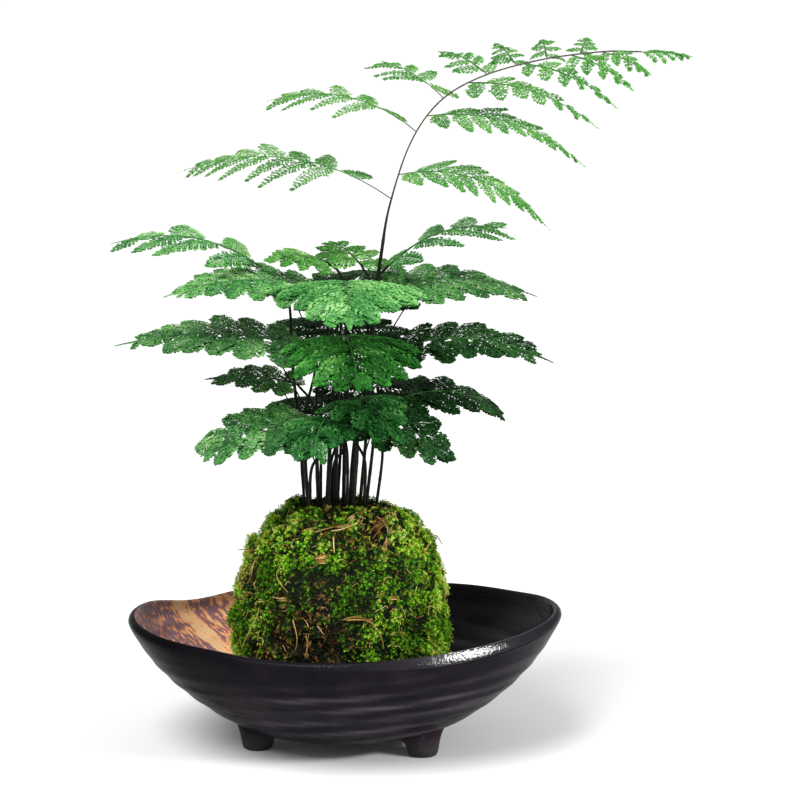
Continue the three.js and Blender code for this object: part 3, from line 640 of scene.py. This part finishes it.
def frond_piece(name, blade, kind, twigs, materials, slot, rib_radius):
    """One frond: its rib, its side twigs, and their leaflets."""
    leaf, bare = kind["leaf"], kind["bare"] * blade.length
    end, rounding, power = kind["outline"]
    rows, paths, radii = rib_rows(blade, kind), [], []
    tilts = [0.0] * len(rows)
    step = (end * blade.length - bare) / twigs
    for side in (-1, 1):
        far = side == blade.far_side
        for i in range(twigs):
            start = bare + step * (i + (0.5 if side > 0 else 0)) + random.uniform(-0.07, 0.07) * step
            share = max(start - bare, 0) / (blade.length - bare)
            lean = math.radians(lerp(*kind["far" if far else "near"], share**0.8) + random.uniform(-4, 4))
            reach = blade.half * (1 - min(share / end, 1) ** rounding) ** power
            reach = min(reach / math.sin(lean), 0.5 * blade.length) * lerp(0.86, 1, smooth(share, 0, 0.18))
            reach = max(reach * random.uniform(0.88, 1.04), 2.0)
            wide = min(kind["fill"] * step * max(math.sin(lean), 0.45), 0.52 * reach)
            wide = max(wide, leaf * 0.8)
            bend = -math.radians(random.uniform(6, 18))
            lift, droop = random.uniform(-0.8, 1.4), random.uniform(0.6, 2.2)
            if not far:
                droop += kind["droop"] * (1 - share)
            # The far half of a left frond is painted lighter, as light on its upper side.
            tone = 0.45 + random.uniform(-0.14, 0.14) + (0.1 if far and "left" in name else 0)
            # A side twig lies like a shingle, with one edge over its neighbour.
            tilt = kind["tilt"][far]
            found = twig_rows((start, lean, reach, wide, bend, lift, droop, tone, tilt), kind)
            tilts += [tilt] * len(found)
            rows += [(r[0], side * r[1], r[2], r[3], side * r[4], *r[5:]) for r in found]
            line = []
            for s in (0, 0.3, 0.6, 0.9):
                heading = lean + bend * s * 0.5
                line.append((
                    start + reach * s * math.cos(heading), side * reach * s * math.sin(heading),
                    lift * s - droop * s * s - 0.25,
                ))
            paths.append(blade.place(line))
            radii.append([rib_radius * MM * t for t in (0.42, 0.36, 0.28, 0.16)])
    paths.append(blade.place([(blade.length * s, 0, -0.2) for s in np.linspace(-0.008, 0.97, RIB_POINTS)]))
    radii.append([rib_radius * MM * lerp(1, 0.25, s) for s in np.linspace(0, 1, RIB_POINTS)])
    data = np.array(rows)
    base, tip = blade.place(data[:, 0:3]), blade.place(data[:, 3:6])
    up = blade.axes[:, 2] + np.outer(tilts, blade.axes[:, 0]) + grain.normal(0, 0.22, (len(data), 3))
    corners, faces = chips(base, tip, data[:, 6] * MM, unit(up))
    rib_points, rib_faces = tubes(paths, radii, RIB_SIDES)
    all_faces = faces.tolist() + [tuple(v + len(corners) for v in f) for f in rib_faces]
    # The rib's tint runs from the stem's dark bark at its foot to green at its end.
    rib_tint = np.concatenate([np.repeat(np.linspace(0.35, 1.0, len(p)), RIB_SIDES) for p in paths])
    rib_tint[-RIB_POINTS * RIB_SIDES :] = np.repeat(np.linspace(0.0, 1.0, RIB_POINTS) ** 0.7, RIB_SIDES)
    tint = np.concatenate((np.repeat(data[:, 7], 4), rib_tint))
    mesh = make_mesh(name, np.concatenate((corners, rib_points)), all_faces, tint, len(faces))
    add_piece(name + "_leaves", mesh, materials, slot, name)


# How the leaflets lie on each kind of blade, in millimetres, degrees and shares: leaflet length, pitch of
# the lobes, leaflets in a fan, half width and painted shade of the lobe under them, width of a side twig,
# lean of the side twigs (at the foot, at the tip) on the near and the far half, how the outline closes
# (where, roundness, power), the bare part of the rib, extra droop of the near half, leaflets on the rib's
# end, and the slope of the side twigs across themselves on the near and the far half.
WIDE = {
    "leaf": 2.2, "pitch": 1.7, "petals": 6, "web": 0.66, "under": 0.32, "fill": 0.95, "near": (92, 30),
    "far": (92, 30), "outline": (0.90, 1.35, 0.9), "bare": 0.03, "droop": 0, "tail": 44,
    "tilt": (-0.04, 0.14),
}
FRONT = {**WIDE, "tilt": (0.22, 0.22)}
BLUNT = {
    **WIDE, "web": 0.8, "near": (76, 30), "far": (76, 30), "outline": (0.96, 1, 0.72), "bare": 0.06,
    "tail": 18, "tilt": (0.12, 0.18),
}
OPEN = {
    **WIDE, "leaf": 1.9, "web": 0.5, "under": 0.12, "fill": 0.62, "near": (50, 24), "far": (150, 22),
    "outline": (0.94, 1.2, 0.8), "bare": 0.04, "droop": 3.5, "tilt": (-0.08, 0.08),
}
BACK = {**WIDE, "petals": 5, "pitch": 2.1, "web": 0.9, "tilt": (-0.14, -0.14)}
SPRAY = {
    "leaf": 1.8, "pitch": 1.8, "petals": 5, "web": 0.24, "under": 0.3, "fill": 0.66, "near": (60, 28),
    "far": (60, 28), "outline": (0.94, 1, 1), "bare": 0.05, "droop": 0, "tail": 16, "tilt": (-0.06, 0.06),
}
SPRAY_LEFT = {
    **SPRAY, "near": (44, 20), "far": (136, 20), "fill": 0.72, "bare": 0.24, "droop": 4,
    "outline": (0.94, 1.3, 0.9),
}
# Fronds are wide and sprays are plain where no other layout is named.
LAYOUTS = {
    "front_low_left": BLUNT, "front_low_centre": BLUNT, "front_low_inner": BLUNT,
    "front_low_right": BLUNT, "right_low": {**BLUNT, "tilt": WIDE["tilt"]}, "centre_mid": FRONT,
    "high_front": FRONT, "top_left": OPEN, "top_right": OPEN, "back_mid": BACK, "back_low": BACK,
    "back_low_right": BACK, "back_high": BACK,
    "tall_left_1": {**SPRAY_LEFT, "near": (56, 24), "droop": 8}, "tall_left_2": SPRAY_LEFT,
    "tall_left_3": SPRAY_LEFT,
}

for name, _, start, tip, half, turn, rise, sag, twigs, _, kind in FRONDS:
    blade = Blade(start, tip, half, turn, rise, sag)
    leaves = LEAVES[TONES.get(name, "front" if kind == "light" else "shaded")]
    layout = LAYOUTS.get(name, WIDE)
    frond_piece("frond_" + name, blade, layout, twigs, (leaves, RIB), "frond_" + kind, RIB_RADIUS)

tall_line = curve_through([(*TALL_FOOT, STEM_BOTTOM), (*TALL_FOOT, SOIL_TOP + 4)] + list(TALL_PATH), 8)
for name, start, tip, half, turn, rise, twigs in SPRAYS:
    aim = (Vector(tip) - Vector(start)).normalized()
    near = min(tall_line, key=lambda p: (p - Vector(start)).length)
    blade = Blade(near + aim * 0.4, tip, half, turn, rise, 3)
    layout = LAYOUTS.get(name, SPRAY)
    stuff = (LEAVES["young"], RIB_YOUNG)
    frond_piece("spray_" + name, blade, layout, twigs, stuff, "frond_young", YOUNG_RIB_RADIUS)


# ---------- stems ----------


def tall_radius(t):
    return lerp(lerp(1.75, 1.0, min(1, t / 0.44)), 0.38, smooth(t, 0.38, 0.58))


def wood_mesh(name, line, radii, sides):
    """A smooth tube along a line in millimetres."""
    mesh = make_mesh(name, *tubes([[at(*p) for p in line]], [radii], sides))
    mesh.shade_smooth()
    return mesh


def stem_piece(name, line, radius_at):
    """A wiry stem with a slight swelling at each joint, 14 to 22 mm apart."""
    reach = [0.0]
    for a, b in zip(line, line[1:]):
        reach.append(reach[-1] + (b - a).length)
    joints, place = [], random.uniform(14, 22)
    while place < reach[-1] - 6:
        joints.append(place)
        place += random.uniform(14, 22)
    radii = []
    for travelled in reach:
        knots = sum(math.exp(-(((travelled - j) / 1.1) ** 2)) for j in joints)
        radii.append(radius_at(travelled / reach[-1]) * (1 + 0.16 * knots) * MM)
    add_piece(name + "_wood", wood_mesh(name, line, radii, STEM_SIDES), (STEM,), "stem", name)


for name, foot, start, tip, half, turn, rise, sag, _, stem_radius, _ in FRONDS:
    away = (Vector(tip) - Vector(start)).normalized()
    end = Vector(start) - away * 0.55
    foot_low = Vector((*foot, STEM_BOTTOM))
    foot_high = Vector((*foot, SOIL_TOP + 3))
    middle = foot_high.lerp(end, 0.4)
    middle.z = lerp(SOIL_TOP, end.z, 0.55)
    before = end - Vector((away.x, away.y, 0)) * 8 - Vector((0, 0, 12))
    line = curve_through([foot_low, foot_high, middle, before, end], 14)
    stem_piece("stem_" + name, line, lambda t, r=stem_radius: lerp(r, 0.6, t))
    if name in FORKED:
        # A finer twig leaves the stem lower down and meets the frond beside its rib.
        blade = Blade(start, tip, half, turn, rise, sag)
        beside = blade.place((blade.length * 0.2, FORKED[name] * half * 0.24, -0.8))[0]
        fork, meet = line[int(len(line) * 0.55)], Vector(beside - np.array(AXIS)) / MM
        bow = fork.lerp(meet, 0.55)
        bow.z = lerp(fork.z, meet.z, 0.62)
        path = curve_through([fork, bow, meet], 8)
        twig = wood_mesh("fork_" + name, path, taper(path, 0.42, 0.25), FORK_SIDES)
        add_piece("fork_" + name, twig, (STEM,), "stem")
stem_piece("stem_tall", tall_line, tall_radius)

# ---------- dish ----------


def activate(piece):
    """Makes the object the active one, and the only one that is selected."""
    bpy.ops.object.select_all(action="DESELECT")
    piece.select_set(True)
    bpy.context.view_layer.objects.active = piece


def edit_all(piece, *steps):
    """Runs edit operators, each with its settings, on the whole of an object's mesh."""
    activate(piece)
    bpy.ops.object.mode_set(mode="EDIT")
    for operator, settings in steps:
        bpy.ops.mesh.select_all(action="SELECT")
        operator(**settings)
    bpy.ops.object.mode_set(mode="OBJECT")


def apply_modifier(piece, kind, **settings):
    """Adds a modifier with its settings, and applies it."""
    activate(piece)
    modifier = piece.modifiers.new(kind.lower(), kind)
    for name, value in settings.items():
        setattr(modifier, name, value)
    bpy.ops.object.modifier_apply(modifier=modifier.name)


def wall_height(reach):
    """Height of the dish's outer surface at a distance from its axis."""
    for (r0, z0), (r1, z1) in zip(OUTER_WALL, OUTER_WALL[1:]):
        if reach <= r1:
            return lerp(z0, z1, max(0, (reach - r0) / (r1 - r0)))
    return DISH_RIM


def swell(degrees, middle, width):
    return math.exp(-(((degrees - middle) / width) ** 2))


FACE_OUTWARD = (bpy.ops.mesh.normals_make_consistent, {"inside": False})


def spin_profile(name, profile, centre, steps):
    """A closed turned shape: the profile's edges spun once round the upright axis through `centre`."""
    mesh = bpy.data.meshes.new(name)
    points = [centre + Vector((r, 0, z)) * MM for r, z in profile]
    mesh.from_pydata(points, [(i, i + 1) for i in range(len(points) - 1)], [])
    shape = bpy.data.objects.new(name, mesh)
    scene.collection.objects.link(shape)
    turn = {"steps": steps, "angle": 2 * math.pi, "center": centre, "axis": (0, 0, 1)}
    weld = {"threshold": 0.000002}
    edit_all(shape, (bpy.ops.mesh.spin, turn), (bpy.ops.mesh.remove_doubles, weld), FACE_OUTWARD)
    return shape


def smooth_profile(points, steps):
    line = curve_through([(r, 0, z) for r, z in points], steps)
    return [(max(p.x, 0), p.z) for p in line]


def shape_bowl(shape):
    """Turns the round bowl into the hand-shaped oval one, with its wavy rim and its throwing ridges."""
    crest_highlights = []
    for vertex in shape.data.vertices:
        x, y, z = millimetres(vertex.co)
        a = math.atan2(y, x)
        degrees = math.degrees(a) % 360
        high = smooth(z, 18, 65)
        plan = 1.007 - 0.007 * math.cos(a) + 0.006 * math.cos(3 * a + 0.6) - 0.012 * swell(degrees, 232, 16)
        lift = 2.8 * math.cos(2 * a) + 1.3 * math.cos(a) - 5 * swell(degrees, 138, 17)
        lift += 0.9 * swell(degrees, 232, 12) - 1.2 * swell(degrees, 34, 15)
        # Throwing ridges climb to the right round the wall, four of them in a turn, and fade below the rim.
        climb = z / RIDGE_PITCH - 2 * a / math.pi + 0.17 * math.sin(2 * a + 0.7)
        depth = smooth(z, 9, 16) * (1 - smooth(z, 40, 58))
        wave = math.sin(2 * math.pi * climb)
        ridge = 1 + 0.34 * depth * wave / max(math.hypot(x, y), 20)
        inside = vertex.normal.z > 0
        # The ridge crests carry a painted highlight on the back inner wall at the right, and outside on all
        # but the left end.
        highlight_shown = 2 * math.exp(-(((x - 58) / 13) ** 2)) * (y > 0) if inside else depth * smooth(x, -60, -10)
        crest_highlights.append(max(0, wave) ** 1.5 * highlight_shown * (0.65 + 0.35 * math.sin(3 * a + z * 0.31)))
        share = lerp(1, plan, high) * ridge
        # The lip is pressed down to a bevel at the front right.
        pressed = 2.6 * swell(degrees, *LIP_PRESSED) * smooth(math.hypot(x, y), 104.2, 106.3)
        lift -= pressed * smooth(z, 56, 61)
        vertex.co = at(x * share, y * share * DISH_SHORT / DISH_LONG, z + lift * high)
    set_values(shape.data, "crest_highlight", crest_highlights)


def shape_foot(shape):
    """Lets the foot flare into the underside of the bowl."""
    for vertex in shape.data.vertices:
        x, y, z = millimetres(vertex.co)
        reach = math.hypot(x, y * DISH_LONG / DISH_SHORT)
        vertex.co.z = (z + (wall_height(reach) - FOOT_JOIN) * smooth(z, 2.5, FOOT_JOIN)) * MM


profile = [(0, UNDERSIDE), (16, UNDERSIDE)] + smooth_profile(OUTER_WALL, 6) + list(RIM)
profile += smooth_profile(INNER_WALL, 6) + [(14, INNER_FLOOR), (0, INNER_FLOOR)]
bowl = spin_profile("dish_glazed", profile, AXIS, DISH_STEPS)
shape_bowl(bowl)
for angle in FOOT_ANGLES:
    turn = math.radians(angle)
    centre = at(FOOT_CIRCLE * math.cos(turn), FOOT_CIRCLE * math.sin(turn), 0)
    foot = spin_profile("foot", smooth_profile(FOOT, 3) + [(0, FOOT_TOP)], centre, FOOT_STEPS)
    edit_all(foot, (bpy.ops.mesh.fill_holes, {"sides": 0}), FACE_OUTWARD)
    shape_foot(foot)
    apply_modifier(bowl, "BOOLEAN", operation="UNION", solver="EXACT", object=foot)
    bpy.data.objects.remove(foot)
bpy.ops.object.shade_smooth_by_angle(angle=math.radians(50))
bowl.data.materials.clear()
bowl.data.materials.append(GLAZE)
bowl.data.materials.append(GLAZE_INSIDE)
for face in bowl.data.polygons:
    x, y, _ = millimetres(face.center)
    inside = face.normal.z > 0.05 and math.hypot(x, y * DISH_LONG / DISH_SHORT) < GLAZE_EDGE
    face.material_index = 1 if inside else 0
wetness = []
for vertex in bowl.data.vertices:
    x, y, _ = millimetres(vertex.co)
    y *= DISH_LONG / DISH_SHORT
    upward = smooth(vertex.normal.z, 0.0, 0.3) * smooth(math.hypot(x, y) / DISH_LONG, 0.93, 0.96)
    wetness.append(upward * swell(math.degrees(math.atan2(y, x)) % 360, *LIP_WET))
set_values(bowl.data, "lip", wetness)
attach(bowl, "root")
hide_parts("dish")

# ---------- moss ----------

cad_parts["soil_ball"].data.materials.clear()
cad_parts["soil_ball"].data.materials.append(SOIL)

bed = bpy.data.objects.new("moss_bed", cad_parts["moss_cover"].data.copy())
scene.collection.objects.link(bed)
edit_all(bed, (bpy.ops.mesh.remove_doubles, {"threshold": 0.00001}))
apply_modifier(bed, "REMESH", mode="VOXEL", voxel_size=BED_VOXEL * MM)
ball_middle = at(BALL_X, 0, BALL_WIDEST)


def cushion(point):
    """How far a place on the ball stands out: from 0 in a gap to about 1 on a cushion of 9 to 13 mm."""
    p = (point - ball_middle) / MM
    near = noise.voronoi((p + noise.noise_vector(p * 0.09) * 6) * 0.078)[0]
    lumps = min(1, (near[1] - near[0]) * 1.7)
    return 0.66 * lumps + 0.34 * (0.5 + 0.5 * noise.noise(p * 0.2))


def mound(point):
    """How far the moss is heaped up round the feet of the stems."""
    p = (point - AXIS) / MM
    return 4.2 * math.exp(-((math.hypot((p.x - BALL_X) / 34, p.y / 27)) ** 4)) * smooth(p.z, 100, 112)


normals = [vertex.normal.copy() for vertex in bed.data.vertices]
inner = bed.vertex_groups.new(name="inside")
for number, normal in enumerate(normals):
    vertex = bed.data.vertices[number]
    away = (vertex.co - ball_middle).normalized()
    outside = smooth(normal.dot(away), 0.1, 0.6)
    if outside == 0:
        inner.add([number], 1.0, "REPLACE")
        continue
    fine = noise.noise(vertex.co * 420) * 0.75
    slim = 0.5 + 0.9 * smooth((vertex.co.x - ball_middle.x) / MM, 30, 50)
    vertex.co += away * (cushion(vertex.co) * 5.0 - 2.7 - slim + fine) * outside * MM
    vertex.co.z += mound(vertex.co) * outside * MM
# The hidden inner wall needs few faces.
apply_modifier(bed, "DECIMATE", vertex_group="inside", ratio=0.6)

# Dry patches on the front: place across and up, half width, half height, and how dry.
DRY_PATCHES = (
    (-16, 62, 17, 17, 1.5), (15, 111, 9, 9, 0.9), (-5, 113, 12, 5, 0.6), (-46, 90, 6, 11, 0.6),
    (17, 84, 7, 4, 0.5),
)


def dryness(point):
    """Where the moss is brown and dry: low at the front left, and in small patches elsewhere."""
    p = (point - AXIS) / MM
    total = max(0, noise.noise(p * 0.062 + Vector((7, 3, 1))) - 0.18) * 1.6
    if p.y < 0:
        for x, z, wide, high, much in DRY_PATCHES:
            total += much * math.exp(-(((p.x - x) / wide) ** 2) - ((p.z - z) / high) ** 2)
    return total


bed.data.materials.clear()
bed.data.materials.append(MOSS_BED)
bed.data.shade_smooth()
# The tint is lower in the gaps between the cushions, as painted shade, and in the dry patches.
set_values(bed.data, "tint", [0.12 + 0.72 * cushion(v.co) - 0.3 * dryness(v.co) for v in bed.data.vertices])
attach(bed, "root")
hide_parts("moss_cover")


def places_on_bed(count, low_z, high_z):
    """Random places on the outside of the moss bed, with the way that each faces."""
    bed.data.calc_loop_triangles()
    tris = np.array([t.vertices[:] for t in bed.data.loop_triangles])
    co = np.empty(len(bed.data.vertices) * 3)
    bed.data.vertices.foreach_get("co", co)
    a, b, c = (co.reshape(-1, 3)[tris[:, k]] for k in range(3))
    cross = np.cross(b - a, c - a)
    normal = unit(cross, 1e-12)
    middle = (a + b + c) / 3
    facing = (normal * unit(middle - np.array(ball_middle))).sum(axis=1)
    z = middle[:, 2] / MM
    weight = np.linalg.norm(cross, axis=1) * (facing > 0.25) * (z > low_z) * (z < high_z)
    chosen = grain.choice(len(tris), count, p=weight / weight.sum())
    u, v = grain.random((2, count, 1))
    u, v = np.where(u + v > 1, 1 - u, u), np.where(u + v > 1, 1 - v, v)
    return a[chosen] + (b - a)[chosen] * u + (c - a)[chosen] * v, normal[chosen]


def moss_shoots(name, count, leaves, length, leaf, half, lean, dry, material):
    """Curled shoots with little leaves all round them, thickest on the cushions and thin in the gaps."""
    where, normal = places_on_bed(count * 4, 20, 126)
    height = np.array([cushion(Vector(p)) for p in where])
    arid = np.array([dryness(Vector(p)) for p in where])
    if dry > 0:
        chance = np.clip(arid * 1.2, 0.01, 1)
    else:
        chance = np.clip((height - 0.12) * 1.5, 0.04, 1) * np.clip(1 + dry * arid * 1.6, 0.02, 1)
    # Few grow down in the dish.
    chance *= np.where(where[:, 2] < 36 * MM, 0.4, 1)
    kept = np.nonzero(grain.random(len(where)) < chance)[0][:count]
    where, normal, height = where[kept], normal[kept], height[kept]
    count = len(kept)
    wild = grain.normal(0, 1, (count, 3))
    wild -= (wild * normal).sum(axis=1)[:, None] * normal
    wild = unit(wild) + np.array((0, 0, -0.35))
    long = length * MM * (0.6 + 0.7 * grain.random(count)) * (0.7 + 0.45 * height)
    bases, tips, ups, tints = [], [], [], []
    broad = np.array([noise.noise(Vector(p) * 55) for p in where])
    # Shoots low in the gaps between cushions are painted darker, and those on the cushions lighter, as
    # shade and light.
    tone = 0.18 + 0.44 * height + 0.45 * broad + grain.normal(0, 0.10, count)
    # The flanks and the top are painted lighter and yellower, as light shining through the shoots.
    tone += 0.20 * np.clip((np.abs(where[:, 0] - ball_middle.x) / MM - 34) / 18, 0, 1)
    tone += 0.20 * np.clip((where[:, 2] / MM - 96) / 12, 0, 1)
    spin_start = grain.random(count) * 6.3
    for i in range(leaves):
        t = (i + 0.4) / leaves
        axis = unit(normal * (1 - lean * t) + wild * lean * (0.35 + t))
        base = where + (normal * (t - 0.25 * lean * t * t) + wild * lean * 0.75 * t * t) * long[:, None]
        side = unit(np.cross(axis, wild), 1e-9)
        turn = (spin_start + i * 2.4)[:, None]
        out = side * np.cos(turn) + np.cross(axis, side) * np.sin(turn)
        open_up = 0.95 - 0.55 * t
        direction = axis * (1.05 - open_up * 0.7) + out * open_up
        size = leaf * MM * (1.1 - 0.45 * t) * (0.8 + 0.4 * grain.random(count))
        bases.append(base)
        tips.append(base + direction * size[:, None])
        ups.append(axis - out * 0.2)
        tints.append(tone - 0.20 + 0.50 * t + grain.normal(0, 0.06, count))
    base, tip, up = np.concatenate(bases), np.concatenate(tips), unit(np.concatenate(ups))
    half_widths = np.full(len(base), half * MM)
    chip_piece(name, base, tip, half_widths, up, 0.4, np.concatenate(tints), material, "moss")


# Name, shoots, leaves on a shoot, its length, length and half width of a leaf in millimetres, how far it
# leans over, how it keeps to the dry patches (from -1, not at all, to 1, there alone), and material.
for shoots in (
    ("moss_shoots_green", 4900, 9, 2.6, 1.45, 0.27, 0.8, -1, MOSS_GREEN),
    ("moss_shoots_olive", 2400, 9, 2.6, 1.35, 0.22, 1.0, -0.4, MOSS_OLIVE),
    ("moss_shoots_deep", 1400, 8, 2.4, 1.5, 0.30, 0.9, -0.9, MOSS_DEEP),
    ("moss_shoots_dry", 1100, 7, 2.8, 1.6, 0.16, 1.2, 1, STRAW),
):
    moss_shoots(*shoots)


def on_bed(x, z):
    """The place on the front of the moss at x across and z up, and the way it faces."""
    hit, place, normal, _ = bed.ray_cast(at(x, -150, z), Vector((0, 1, 0)))
    return (place, normal) if hit else (at(x, 0, z), Vector((0, -1, 0)))


# Dead grass blades that lie on the moss: points across and up as seen from the front, radius at each end,
# and how far the middle stands off.
BLADES = (
    (((-49, 54), (-45, 61), (-41.5, 70), (-40, 77)), 0.4, 0.2, 1.6),
    (((1.7, 74), (6, 74.5), (10.3, 73.5), (15, 70.6), (17.4, 65.7), (18.4, 58.8)), 0.55, 0.25, 0.9),
    (((0, 74.5), (5, 75.4), (10, 74.6), (13.5, 73)), 0.4, 0.2, 1.6),
    (((-30.2, 98), (-30.5, 93.3), (-29.2, 89.3), (-26.2, 85.5)), 0.3, 0.14, 1.2),
    (((-45, 89.5), (-44, 93.6), (-42, 98)), 0.34, 0.2, 1.6),
    (((-44, 90), (-42.5, 94), (-41, 97)), 0.3, 0.16, 2.0),
    (((-44, 97.5), (-48, 98), (-53, 98)), 0.45, 0.2, 2.2),
    (((38, 100.5), (42, 101), (48, 100.5)), 0.45, 0.2, 2.4),
    (((-5.2, 110.3), (-4.7, 106.7), (-4.2, 104.6)), 0.34, 0.2, 1.0),
    (((-14, 112), (-6, 113.6), (1, 115)), 0.3, 0.16, 1.4),
    (((-6, 112.5), (0, 114.2), (6, 116.2)), 0.42, 0.22, 1.0),
    (((12, 112), (17, 115), (22, 119)), 0.42, 0.22, 1.2),
    (((13, 110), (18, 112.5), (23, 117)), 0.36, 0.18, 1.4),
    (((16, 118), (19, 114), (20, 109)), 0.34, 0.18, 1.2),
    (((-17, 66), (-16, 61), (-18, 56)), 0.5, 0.22, 1.0),
    (((-24, 74), (-22, 66), (-23, 58)), 0.3, 0.14, 1.4),
)
BROKEN_STRAWS = 260
random.seed(21)
paths, radii = [], []
for points, thick, thin, stand in BLADES:
    spots = [on_bed(*p) for p in points]
    line = []
    for i, (place, normal) in enumerate(spots):
        line.append(place + normal * (1.3 + stand * math.sin(math.pi * i / (len(spots) - 1))) * MM)
    paths.append(curve_through(line, 6))
    radii.append(taper(paths[-1], thick, thin))
for place, facing_way in zip(*places_on_bed(BROKEN_STRAWS, 34, 124)):
    place, facing_way = Vector(place), Vector(facing_way)
    run = facing_way.cross(Vector([random.uniform(-1, 1) for _ in range(3)])).normalized()
    bow = facing_way.cross(run) * random.uniform(-1.6, 1.6)
    long = random.uniform(2.5, 7)
    line = []
    for t in (-0.5, 0, 0.5):
        stand = facing_way * random.uniform(0.7, 2.2)
        line.append(place + (run * long * t + bow * (1 - 4 * t**2) + stand) * MM)
    paths.append(curve_through(line, 3))
    size = random.uniform(0.14, 0.26)
    radii.append(taper(paths[-1], size, size * 0.45))
vertices, faces = tubes(paths, radii, GRASS_SIDES)
tint = np.concatenate([np.full(len(p) * GRASS_SIDES, random.uniform(0.35, 1.0)) for p in paths])
dry_grass = make_mesh("dry_grass", vertices, faces, tint)
dry_grass.shade_smooth()
add_piece("dry_grass", dry_grass, (STRAW,), "moss")

# Flat flakes of husk lie on the moss: place across and up, length, width, and turn in degrees. Each is a
# bundle of split fibres side by side.
FLAKES = (
    (-10.4, 101.3, 12, 4.4, -4), (23.2, 82.5, 7.5, 3.0, 6), (-29, 82, 7, 2.0, 8), (-28.5, 79.5, 6, 1.6, 30),
    (-16.6, 62.7, 6, 2.6, 62), (-18, 57, 4.5, 1.8, 110), (-8, 121, 6, 1.6, -30), (3, 118, 6, 1.8, 25),
    (17, 113.5, 8, 2.2, 38), (0.5, 115, 9, 1.8, 14), (-16, 113, 6, 1.6, 20), (24, 66, 4, 1.4, 5),
    (20, 108, 5, 1.8, 70),
)
FIBRES = 9
base, tip, half_widths, ups = [], [], [], []
for x, z, long, width, turn in FLAKES:
    place, facing_way = on_bed(x, z)
    right = Vector((0, 0, 1)).cross(-facing_way).normalized()
    over = facing_way.cross(right)
    for k in range(FIBRES):
        angle = math.radians(turn + random.uniform(-9, 9))
        run = right * math.cos(angle) + over * math.sin(angle)
        beside = facing_way.cross(run) * (k - 4) * width / FIBRES + run * random.uniform(-1, 1)
        middle = place + (beside + facing_way * random.uniform(1.2, 1.9)) * MM
        reach = long * random.uniform(0.3, 0.52)
        base.append(middle - run * reach * MM)
        tip.append(middle + run * reach * MM)
        half_widths.append(width * 0.09 * MM)
        ups.append(facing_way)
base, tip, half_widths, ups = (np.array(values) for values in (base, tip, half_widths, ups))
tint = np.random.default_rng(3).uniform(0.25, 0.95, len(base))
chip_piece("husk_flakes", base, tip, half_widths, ups, 0.5, tint, STRAW, "moss")

# Crumbs of bark and dead moss lie round the feet of the stems.
CRUMBS = 1300
angle, spread = grain.random(CRUMBS) * 2 * math.pi, np.sqrt(grain.random(CRUMBS))
x = BALL_X + 25 * spread * np.cos(angle)
y = 17 * spread * np.sin(angle)
z = SOIL_TOP + 1.2 + 6.5 * grain.random(CRUMBS) * (1 - spread**4)
base = np.array(AXIS) + np.stack((x, y, z), axis=1) * MM
run = grain.normal(0, 1, (CRUMBS, 3))
run[:, 2] *= 0.45
tip = base + unit(run) * (1.0 + 2.2 * grain.random(CRUMBS))[:, None] * MM
up = np.repeat(np.array([[0.1, 0.05, 1.0]]), CRUMBS, axis=0)
half_widths = (0.2 + 0.3 * grain.random(CRUMBS)) * MM
chip_piece("crown_crumbs", base, tip, half_widths, up, 0.5, grain.random(CRUMBS) * 0.75, STRAW, "soil")

# ---------- camera, floor and lights ----------

# A long lens, 1.4 m in front of the dish, that looks 9 degrees down.
camera_data = bpy.data.cameras.new("camera")
camera_data.lens = 128.57
camera_data.sensor_width = 36
camera = bpy.data.objects.new("camera", camera_data)
camera.location = (0.00003, -1.3856, 0.3915)
camera.rotation_euler = (math.radians(81), 0, 0)
scene.collection.objects.link(camera)
scene.camera = camera
scene.view_settings.view_transform = "Standard"

bpy.ops.object.select_all(action="DESELECT")
bpy.ops.mesh.primitive_circle_add(vertices=96, radius=30, fill_type="NGON", location=(0, 0, 0))
floor = bpy.context.object
floor.name = "floor"
paper, node, place = start_material("white paper sweep")
mottle = node("TexNoise", {"Vector": place}, {"Scale": 0.4})
sheet = node("ValToRGB", {"Fac": mottle}, stops=((0.3, "#f8f8f7"), (0.7, "#f9f9f8")))
end_material(paper, node, node("BsdfPrincipled", {"Base Color": sheet}, {"Roughness": 0.9}))
floor.data.materials.append(paper)

world = bpy.data.worlds.new("studio")
world.use_nodes = True
background = world.node_tree.nodes["Background"]
background.inputs["Color"].default_value = (1, 1, 1, 1)
background.inputs["Strength"].default_value = 0.45
scene.world = world


def add_light(name, kind, place, aim, energy, **settings):
    data = bpy.data.lights.new(name, kind)
    data.energy = energy
    for setting, value in settings.items():
        setattr(data, setting, value)
    light = bpy.data.objects.new(name, data)
    light.location = place
    light.rotation_euler = (Vector(aim) - Vector(place)).to_track_quat("-Z", "Y").to_euler()
    scene.collection.objects.link(light)


# A broad, soft main light from the upper left, and a softbox over the right of the dish.
add_light("main", "SUN", (-0.8, -1.1, 1.9), (0, 0, 0.15), 2.9, angle=math.radians(36))
box = {"shape": "RECTANGLE", "size": 0.40, "size_y": 0.10}
add_light("softbox", "AREA", (0.92, -0.56, 0.545), (0.065, -0.07, 0.063), 10.5, **box)
